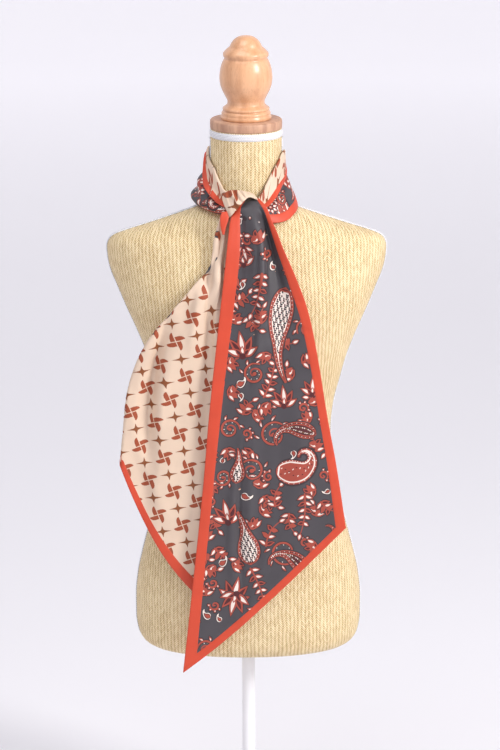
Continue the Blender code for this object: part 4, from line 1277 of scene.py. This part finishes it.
def printed(name, sheet, region, size, cell, away, shapes, finishes):
    """One face of the cloth, its print cut into the mesh itself along the motifs' outlines.

    region is the span of the two parameters, size their lengths in millimetres and away how far
    the face stands from the middle of the cloth.
    """
    scale = np.array(size)
    (u0, u1), (v0, v1) = region
    count = max(2, round((u1 - u0) * size[0] / cell[0]))
    rows = max(2, round((v1 - v0) * size[1] / cell[1]))
    rim = [place for side in sides_of(region, count, rows) for place in side[:-1]]
    outlines = [("ground", np.array(rim) * scale)]
    starts = np.cumsum([0] + [len(line) for _, line in shapes])
    found = sheet.find([p for _, line in shapes for p in line]) if shapes else ()
    for (key, line), start, end in zip(shapes, starts, starts[1:]):
        uv = found[start:end]
        stretch = length_round(uv * scale) / length_round(np.array(line))
        if between(uv, (u0, v0), (u1, v1)).any() and LEAST_STRETCH < stretch < MOST_STRETCH:
            outlines.append((key, uv * scale))
    verts, edges = [], []
    for _, spots in outlines:
        start, many = len(verts), len(spots)
        verts += [Vector(spot) for spot in spots]
        edges += [(start + i, start + (i + 1) % many) for i in range(many)]
    for j in range(1, rows):
        for i in range(1, count):
            u = u0 + (u1 - u0) * (i - 0.25 + 0.25 * (j % 2)) / count
            verts.append(Vector((u * scale[0], (v0 + (v1 - v0) * j / rows) * scale[1])))
    out, _, faces, _, _, _ = delaunay_2d_cdt(verts, edges, [], 0, 0.02, False)
    out = np.array([tuple(p) for p in out])
    faces = np.array(faces)
    middles = out[faces].mean(axis=1)
    order = list(finishes)
    low, high = np.array((u0, v0)) * scale, np.array((u1, v1)) * scale
    within = between(middles, low, high)
    slots = np.where(within, order.index("ground"), -1)
    sorting = np.argsort(middles[:, 0])
    across = middles[sorting, 0]
    for key, spots in outlines[1:]:
        (low, bottom), (high, top) = spots.min(axis=0), spots.max(axis=0)
        near = sorting[np.searchsorted(across, low) : np.searchsorted(across, high)]
        near = near[(middles[near, 1] > bottom) & (middles[near, 1] < top) & within[near]]
        slots[near[wound(middles[near], spots)]] = order.index(key)
    faces, slots = faces[slots >= 0], slots[slots >= 0]
    if away < 0:
        faces = faces[:, ::-1]
    made = sheet.at(out / scale)
    place = made[:, :3] + sheet.normals(out / scale) * away
    return add_piece(name, place, faces, list(finishes.values()), made[:, 3:], slots)


def joined(name, pieces):
    """Several meshes as one piece."""
    made = pieces[0]
    chosen = {"selected_editable_objects": pieces, "selected_objects": pieces}
    with bpy.context.temp_override(active_object=made, object=made, **chosen):
        bpy.ops.object.join()
    made.name = made.data.name = name
    return made


def across_strip(a, b):
    """A section of an edging strip, from its inner side to its outer one."""
    return [(a[0] + (b[0] - a[0]) * t, a[1] + (b[1] - a[1]) * t) for t in STRIP]


def shell(name, sheet, sections, thick):
    """A closed strip of edging from its sections of parameters, both sides rounded over."""
    width = len(sections[0])
    uv = np.array([place for section in sections for place in section], dtype=float)
    made, normals = sheet.at(uv), sheet.normals(uv)
    edge = np.ones(len(uv))
    index = np.arange(len(uv)) % width
    edge[(index == 0) | (index == width - 1)] = STRIP_EDGE
    out = normals * (thick / 2 * edge)[:, None]
    points = np.concatenate([made[:, :3] + out, made[:, :3] - out])
    total = len(uv)
    faces = []
    for k in range(len(sections) - 1):
        for i in range(width - 1):
            a, b = k * width + i, k * width + i + 1
            c, d = a + width, b + width
            faces.append((a, b, d, c))
            faces.append((total + a, total + c, total + d, total + b))
        for i in (0, width - 1):
            a, c = k * width + i, (k + 1) * width + i
            side = (a, c, total + c, total + a)
            faces.append(side if i == 0 else side[::-1])
    for k in (0, len(sections) - 1):
        for i in range(width - 1):
            a, b = k * width + i, k * width + i + 1
            side = (a, total + a, total + b, b)
            faces.append(side if k == 0 else side[::-1])
    piece = add_piece(name, points, faces, [RUST], np.tile(made[:, 3:], (2, 1)))
    mesh_data = bmesh.new()
    mesh_data.from_mesh(piece.data)
    bmesh.ops.recalc_face_normals(mesh_data, faces=mesh_data.faces)
    mesh_data.to_mesh(piece.data)
    mesh_data.free()
    return piece


def stitches(name, sheet, line, away):
    """Small raised stitches along a line of parameters, on both faces."""
    line = np.array(line, dtype=float)
    points = sheet.at(line)[:, :3]
    walked = np.concatenate([[0], np.cumsum(np.linalg.norm(np.diff(points, axis=0), axis=1))])
    starts = np.arange(1.0, walked[-1] - STITCH, STITCH_PITCH)
    made, faces = [], []
    for side in (-away, away):
        ends = []
        for offset in (0.0, STITCH):
            uv = np.stack([np.interp(starts + offset, walked, line[:, k]) for k in (0, 1)], axis=1)
            ends.append((sheet.at(uv)[:, :3], sheet.normals(uv)))
        for a, b, normal in zip(ends[0][0], ends[1][0], ends[0][1]):
            along = (b - a) / max(np.linalg.norm(b - a), 1e-9)
            aside = np.cross(normal, along) * STITCH_WIDTH / 2
            start, base, middle = len(made), normal * side, (a + b) / 2
            lift = normal * math.copysign(STITCH_LIFT, side)
            made += [a + base, middle + base - aside, b + base, middle + base + aside]
            made.append(middle + base + lift)
            faces += [(start + i, start + (i + 1) % 4, start + 4) for i in range(4)]
    piece = add_piece(name, made, faces, [THREAD], [(p[0], p[2]) for p in made])
    return piece


# The scarf's cloth

EDGING_ROWS = 200
EDGING_END_ROWS = 56
# Size in millimetres of the cells between the motifs, across and along
TAIL_CELL = (2.6, 5.5)
LOOP_CELL = (1.8, 3.6)
KNOT_LIFT = 1.7
KNOT_FADE = 0.08

# Soft troughs and ridges in the front tail, as seen from the front: three points of each line,
# how far it stands out and its half width
FRONT_CREASES = (
    (14.5, 905, 13.0, 800, 2.5, 680, -1.8, 3.2),
    (21.0, 900, 20.5, 815, 12.0, 720, 1.4, 5.0),
    (27.0, 915, 29.0, 850, 36.0, 780, -1.8, 3.6),
    (-4.0, 614, -12.0, 505, -7.0, 390, -2.2, 3.0),
    (-3.0, 610, -22.0, 500, -18.0, 390, 1.5, 6.0),
    (8.0, 600, 2.0, 505, 6.0, 400, 1.6, 7.5),
    (21.0, 770, 46.0, 771, 74.0, 757, -1.3, 5.5),
    (7.0, 720, 30.0, 736, 50.0, 745, 1.3, 7.0),
    (6.0, 712, 24.0, 716, 42.0, 728, -1.0, 4.5),
    (60.0, 690, 72.0, 600, 70.0, 520, 1.0, 12.0),
    (40.0, 640, 46.0, 560, 40.0, 470, -1.0, 9.0),
    (96.0, 690, 104.0, 620, 108.0, 560, -0.8, 7.0),
    (-36.0, 660, -48.0, 560, -58.0, 470, 0.8, 7.0),
    (30.0, 480, 20.0, 420, -10.0, 340, 1.0, 8.0),
    (-46.0, 765, -10.0, 757, 20.0, 760, -0.6, 2.4),
    (-48.0, 724, -14.0, 722, 8.0, 716, -0.6, 2.4),
    (-50.0, 689, -20.0, 686, 0.0, 690, -0.5, 2.2),
    (58.0, 800, 74.0, 797, 90.0, 790, -0.6, 2.4),
    (66.0, 760, 82.0, 757, 98.0, 748, -0.6, 2.4),
    (-60.0, 420, 0.0, 432, 60.0, 452, -0.5, 3.0),
)

# The same for the back tail
BACK_CREASES = (
    (-52.0, 850, -52.0, 790, -54.0, 715, -3.4, 4.6),
    (-54.0, 715, -58.0, 640, -62.0, 570, -1.4, 7.0),
    (-40.0, 890, -40.0, 800, -41.0, 720, 2.4, 4.5),
    (-30.0, 860, -31.0, 780, -33.0, 700, -1.8, 3.5),
    (-104.0, 780, -126.0, 705, -137.0, 603, -3.4, 4.6),
    (-92.0, 775, -112.0, 700, -124.0, 600, 1.8, 8.0),
    (-124.0, 745, -146.0, 690, -156.0, 620, 1.4, 7.0),
    (-80.0, 730, -92.0, 640, -98.0, 520, -1.1, 10.0),
    (-160.0, 660, -150.0, 590, -110.0, 490, 1.0, 9.0),
    (-60.0, 600, -66.0, 500, -56.0, 420, 1.2, 9.0),
    (-64.0, 815, -70.0, 770, -78.0, 730, 1.5, 6.0),
    (-130.0, 640, -90.0, 626, -40.0, 622, -0.5, 3.0),
)

# How much deeper than in the tables the ridges and the troughs are drawn
RIDGE_GAIN = 2.3
TROUGH_GAIN = 1.15


def bent(t, a, b, c):
    """The value at a share t of the way along a smooth arc through three values."""
    return (1 - t) ** 2 * a + 2 * t * (1 - t) * (2 * b - (a + c) / 2) + t * t * c


def creased(table, seed, unevenness=0.35):
    """How far the cloth stands out at places of its flat view: its creases, and slight waves."""
    chance = random.Random(seed)
    waves = [
        (chance.uniform(-0.09, 0.09), chance.uniform(-0.05, 0.05), chance.uniform(0, 6.3))
        for _ in range(7)
    ]

    def relief(x, z):
        height = np.zeros_like(x)
        for ax, az, bx, bz, cx, cz, out, half in table:
            out *= RIDGE_GAIN if out > 0 else TROUGH_GAIN
            best = np.full_like(x, 1e9)
            share = np.zeros_like(x)
            line = [(bent(t, ax, bx, cx), bent(t, az, bz, cz), t) for t in steps_between(0, 1, 10)]
            for (x0, z0, t0), (x1, z1, t1) in zip(line, line[1:]):
                dx, dz = x1 - x0, z1 - z0
                f = np.clip(((x - x0) * dx + (z - z0) * dz) / (dx * dx + dz * dz), 0, 1)
                away = np.hypot(x - x0 - f * dx, z - z0 - f * dz)
                nearer = away < best
                best = np.where(nearer, away, best)
                share = np.where(nearer, t0 + f * (t1 - t0), share)
            taper = np.sin(np.pi * np.clip(share * 0.86 + 0.07, 0, 1)) ** 0.6
            height += out * taper * np.exp(-((best / half) ** 2))
        for kx, kz, phase in waves:
            height += unevenness / 3 * np.sin(x * kx + z * kz + phase)
        return -height

    return relief


def border(sides, across):
    """The share of a tail's length that the edging of its slanted end takes up."""
    slant = EDGING / math.cos(math.radians(END_SLANT))
    return slant / (sides[0] + (sides[1] - sides[0]) * min(max(across, 0), 1))


def edging_sections(sides, outer, inner):
    """Sections of the mitred edging from a tail's top, round its slanted end and up again."""

    def along_side(k, v):
        return across_strip((inner[k], v * (1 - border(sides, inner[k]))), (outer[k], v))

    made = [along_side(0, v) for v in steps_between(0, 1, EDGING_ROWS)[:-1]]
    for t in steps_between(0, 1, EDGING_END_ROWS):
        inside, outside = (pair[0] + (pair[1] - pair[0]) * t for pair in (inner, outer))
        made.append(across_strip((inside, 1 - border(sides, inside)), (outside, 1.0)))
    return made + [along_side(1, v) for v in steps_between(1, 0, EDGING_ROWS)[1:]]


def build_tail(node, sheet, sides, outer, inner, prints):
    """A tail: two printed faces, the edging bound round them and its two rows of stitches."""
    length = max(sides)
    ends = [(a + b) / 2 for a, b in zip(outer, inner)]
    region = (ends, (0.0, 1 - 0.45 * border((length, length), 0)))
    size = (SCARF_WIDTH, length)
    faces = [
        printed(f"{node}_{side}", sheet, region, size, TAIL_CELL, side * CLOTH / 2, *face)
        for side, face in zip((-1, 1), prints)
    ]
    cloth = joined(node + "_cloth", faces)
    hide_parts(node)
    sections = edging_sections(sides, outer, inner)
    binding = shell(node + "_binding", sheet, sections, CLOTH + 0.5)
    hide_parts(node + "_edging")
    line = [[a * 0.88 + b * 0.12 for a, b in zip(s[0], s[-1])] for s in sections]
    seam = stitches(node + "_stitches", sheet, line, CLOTH / 2 + 0.25)
    return cloth


def build_tails():
    sheet = Sheet(front_tail, (-0.06, 1.06, 112), (-0.01, 1.03, 260), creased(FRONT_CREASES, 3))
    prints = (front_paisley(), PAISLEY), (pinwheels((-100, 260, 150, 940)), PINWHEEL)
    inner = FRONT_LINES[1], FRONT_LINES[-2]
    cloth = build_tail(
        "front_tail", sheet, FRONT_SIDES, (0.0, 1.0), inner, prints
    )
    sheet = Sheet(back_tail, (-0.13, 1.05, 132), (-0.01, 1.03, 220), creased(BACK_CREASES, 5))
    box = (-205, 320, 0, 930)
    prints = (pinwheels(box), PINWHEEL), (scattered(box, 11), PAISLEY)
    outer, inner = (BACK_LINES[0], 1.0), (BACK_LINES[1], BACK_LINES[-2])
    cloth = build_tail("back_tail", sheet, BACK_SIDES, outer, inner, prints)


# Creases of the neck loop in its own flat view: azimuth times LOOP_REACH, and the length from the hem
LOOP_CREASES = (
    (25, 30, 60, 34, 100, 36, -1.2, 3.0),
    (30, 44, 70, 48, 120, 50, 0.8, 3.5),
    (290, 34, 330, 36, 380, 30, -1.6, 3.0),
    (285, 24, 330, 22, 378, 20, 0.9, 4.0),
    (300, 46, 340, 44, 380, 40, 0.8, 3.0),
    (150, 30, 190, 36, 240, 30, -0.8, 4.0),
    (170, 46, 210, 44, 260, 48, 0.6, 4.0),
    (300, 118, 335, 116, 372, 110, -1.4, 2.6),
    (310, 106, 340, 104, 370, 100, 0.7, 3.0),
    (28, 116, 60, 120, 92, 122, 0.8, 4.0),
)


def build_loop():
    """The neck loop, folded along its top like a collar, with its two bound edges."""
    first, last = LOOP_SECTIONS[0][0], LOOP_SECTIONS[-1][0]
    sheet = Sheet(neck_loop, (0.0, 1.0, 150), (first, last, 130), creased(LOOP_CREASES, 9, 0.25))
    region = ((0.004, 0.996), (first + 0.2, last - 0.2))
    size = (150.0, LOOP_REACH)
    box = (first * LOOP_REACH, 0, last * LOOP_REACH, 175)
    lattice = (30.0, 150.0), (0.0, -25.0), (28.0, 2.0)
    prints = (scattered(box, 4, 0.8), PAISLEY), (pinwheels(box, *lattice), PINWHEEL)
    faces = [
        printed("loop_" + way, sheet, region, size, LOOP_CELL, side * CLOTH / 2, *face)
        for way, side, face in zip(("out", "in"), (-1, 1), prints)
    ]
    cloth = joined("neck_loop_cloth", faces)
    sides = ("right", "back", "left")
    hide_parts(*[f"{part}_{side}" for part in ("neck_loop", "neck_flap") for side in sides])
    bindings = []
    for name, width, end in (("hem", EDGING, 0.0), ("flap", FLAP_EDGING, 1.0)):
        sections, line = [], []
        for azimuth in steps_between(first + 0.1, last - 0.1, 150):
            share = abs(end - width / loop_section(azimuth)[2])
            sections.append(across_strip((share, azimuth), (end, azimuth)))
            line.append((share * 0.86 + end * 0.14, azimuth))
        binding = shell(name + "_binding", sheet, sections, CLOTH + 0.4)
        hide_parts(*[f"{name}_edging_{side}" for side in sides])
        seam = stitches(name + "_binding_stitches", sheet, line, CLOTH / 2 + 0.2)
        bindings += [binding, seam]


# Ridges of the gathered knot: where each crosses its top and its bottom, as a share of the way
# from left to right, how far it stands out and its half width
KNOT_RIDGES = (
    (0.06, 0.10, 0.8, 0.035),
    (0.17, 0.30, 1.5, 0.045),
    (0.30, 0.47, -1.2, 0.030),
    (0.37, 0.55, 1.6, 0.040),
    (0.48, 0.63, -1.3, 0.028),
    (0.56, 0.69, 1.5, 0.038),
    (0.66, 0.75, -1.1, 0.026),
    (0.73, 0.82, 1.2, 0.034),
    (0.84, 0.90, -0.8, 0.026),
    (0.90, 0.95, 0.7, 0.028),
)


def pleated_knot(across, down):
    point, flat = knot_wrap(across, down)
    fade = min(across / KNOT_FADE, (1 - across) / KNOT_FADE, 1.0)
    out = 0.0
    for top, bottom, height, half in KNOT_RIDGES:
        line = top + (bottom - top) * down
        out += height * math.exp(-(((across - line) / half) ** 2))
    swell = 0.55 + 0.45 * math.sin(math.pi * min(down + 0.25, 1.0))
    lift = KNOT_LIFT * out * max(fade, 0.0) * swell
    return (point[0], point[1] - lift, point[2] + 0.25 * lift), flat


def build_knot():
    """The half knot: its gathered wrap, and the edging that twists out from under it."""
    sheet = Sheet(pleated_knot, (0.0, 1.0, 96), (0.0, 1.0, 30))
    region = ((0.002, 0.998), (0.004, 0.996))
    size = (62.0, 32.0)
    motifs = pinwheels((-40, 905, 20, 955), (-28.0, 921.0), (7.0, -15.0), (14.0, 8.0))
    faces = [
        printed("knot_out", sheet, region, size, (1.2, 1.4), -CLOTH / 2, motifs, PINWHEEL),
        printed("knot_in", sheet, region, size, (1.8, 2.0), CLOTH / 2, [], PAISLEY),
    ]
    rim = sum(sides_of(region, 80, 26), [])
    made, out = sheet.at(rim), sheet.normals(rim) * CLOTH / 2
    points = np.concatenate([made[:, :3] - out, made[:, :3] + out])
    flat = np.tile(made[:, 3:], (2, 1))
    faces.append(add_piece("knot_rim", points, ring_faces(len(rim), 2), [PINWHEEL["ground"]], flat))
    cloth = joined("knot_cloth", faces)
    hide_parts("knot_wrap")
    sheet = Sheet(knot_twist, (0.0, 1.0, 12), (0.0, 1.0, 24))
    shares = (0.0, 0.08, 0.3, 0.5, 0.7, 0.92, 1.0)
    sections = [[(t, v) for t in shares] for v in steps_between(0.0, 1.0, 30)]
    twist = shell("twisted_binding", sheet, sections, CLOTH + 0.4)
    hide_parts("knot_twist")


build_body()
build_neck_tape()
build_side_tape("right", 0.0)
build_side_tape("left", math.pi)
build_side_stitches()
build_stand()
build_tails()
build_loop()
build_knot()


# Camera, floor and lights: metres, but for the backdrop, which is turned in millimetres

TARGET = Vector((0.00392, 0.0, 0.6705))
DISTANCE = 4.2
ELEVATION = math.radians(12.5)
ROLL = math.radians(0.24)
FIELD = math.radians(14.25)
ROOM_RADIUS = 11000.0
COVE_RADIUS = 2000.0
# The backdrop's own light at the form and at the far wall, as the photo's plain backdrop needs
GLOW_NEAR, GLOW_FAR, GLOW_DEPTH = 0.26, 0.52, 9.0


def build_camera():
    data = bpy.data.cameras.new("camera")
    data.sensor_fit = "VERTICAL"
    data.angle = FIELD
    camera = linked("camera", data)
    camera.location = TARGET + DISTANCE * Vector((0, -math.cos(ELEVATION), math.sin(ELEVATION)))
    facing = (TARGET - camera.location).to_track_quat("-Z", "Y").to_matrix()
    camera.rotation_euler = (facing @ Matrix.Rotation(-ROLL, 3, "Z")).to_euler()
    bpy.context.scene.camera = camera


def build_stage():
    """A seamless pale floor that turns up into a backdrop, lit brighter behind the form."""
    nodes = Nodes("backdrop", 0.9, Emission_Color=(0.90, 0.885, 0.925, 1.0))
    cloud = nodes.noise(nodes.place(), 0.5, 2.0)
    nodes.colour(nodes.ramp(cloud, (0.3, (0.66, 0.65, 0.68)), (0.7, (0.675, 0.665, 0.695))))
    depth = nodes.add("ShaderNodeSeparateXYZ", {"Vector": nodes.place()}).outputs["Y"]
    spans = {"From Min": 0.0, "From Max": GLOW_DEPTH, "To Min": GLOW_NEAR, "To Max": GLOW_FAR}
    behind = nodes.add("ShaderNodeMapRange", {"Value": depth, **spans})
    nodes.tree.links.new(behind.outputs[0], nodes.shader.inputs["Emission Strength"])
    start = ROOM_RADIUS - COVE_RADIUS
    profile = [(-0.2, r) for r in (5.0, 1000, 2500, 5000, start)]
    for angle in steps_between(0, math.pi / 2, 8)[1:]:
        rise, out = COVE_RADIUS * (1 - math.cos(angle)), COVE_RADIUS * (1 - math.sin(angle))
        profile.append((rise, ROOM_RADIUS - out))
    profile.append((ROOM_RADIUS * 1.45, ROOM_RADIUS))
    floor = lathe("backdrop", profile, 96, nodes.made, close=False)


def add_light(name, place, aim, size, power, colour):
    data = bpy.data.lights.new(name, "AREA")
    data.shape = "RECTANGLE"
    data.size, data.size_y = size
    data.energy = power
    data.color = colour
    made = linked(name, data)
    made.location = place
    made.rotation_euler = (Vector(aim) - Vector(place)).to_track_quat("-Z", "Y").to_euler()


def build_lights():
    add_light("key", (2.5, -1.9, 2.3), (0, 0, 0.8), (0.8, 1.3), 102.0, (1.0, 0.985, 0.96))
    add_light("fill", (-2.4, -2.6, 1.4), (0, 0, 0.7), (2.0, 2.0), 8.0, (0.97, 0.975, 1.0))
    add_light("top", (-0.5, -0.9, 3.2), (0, 0, 0.8), (1.6, 1.6), 30.0, (1.0, 1.0, 1.0))
    world = bpy.data.worlds.new("studio")
    world.use_nodes = True
    background = world.node_tree.nodes["Background"]
    background.inputs["Color"].default_value = (0.90, 0.89, 0.93, 1.0)
    background.inputs["Strength"].default_value = 0.14
    bpy.context.scene.world = world
    bpy.context.scene.view_settings.view_transform = "Standard"


build_camera()
build_stage()
build_lights()
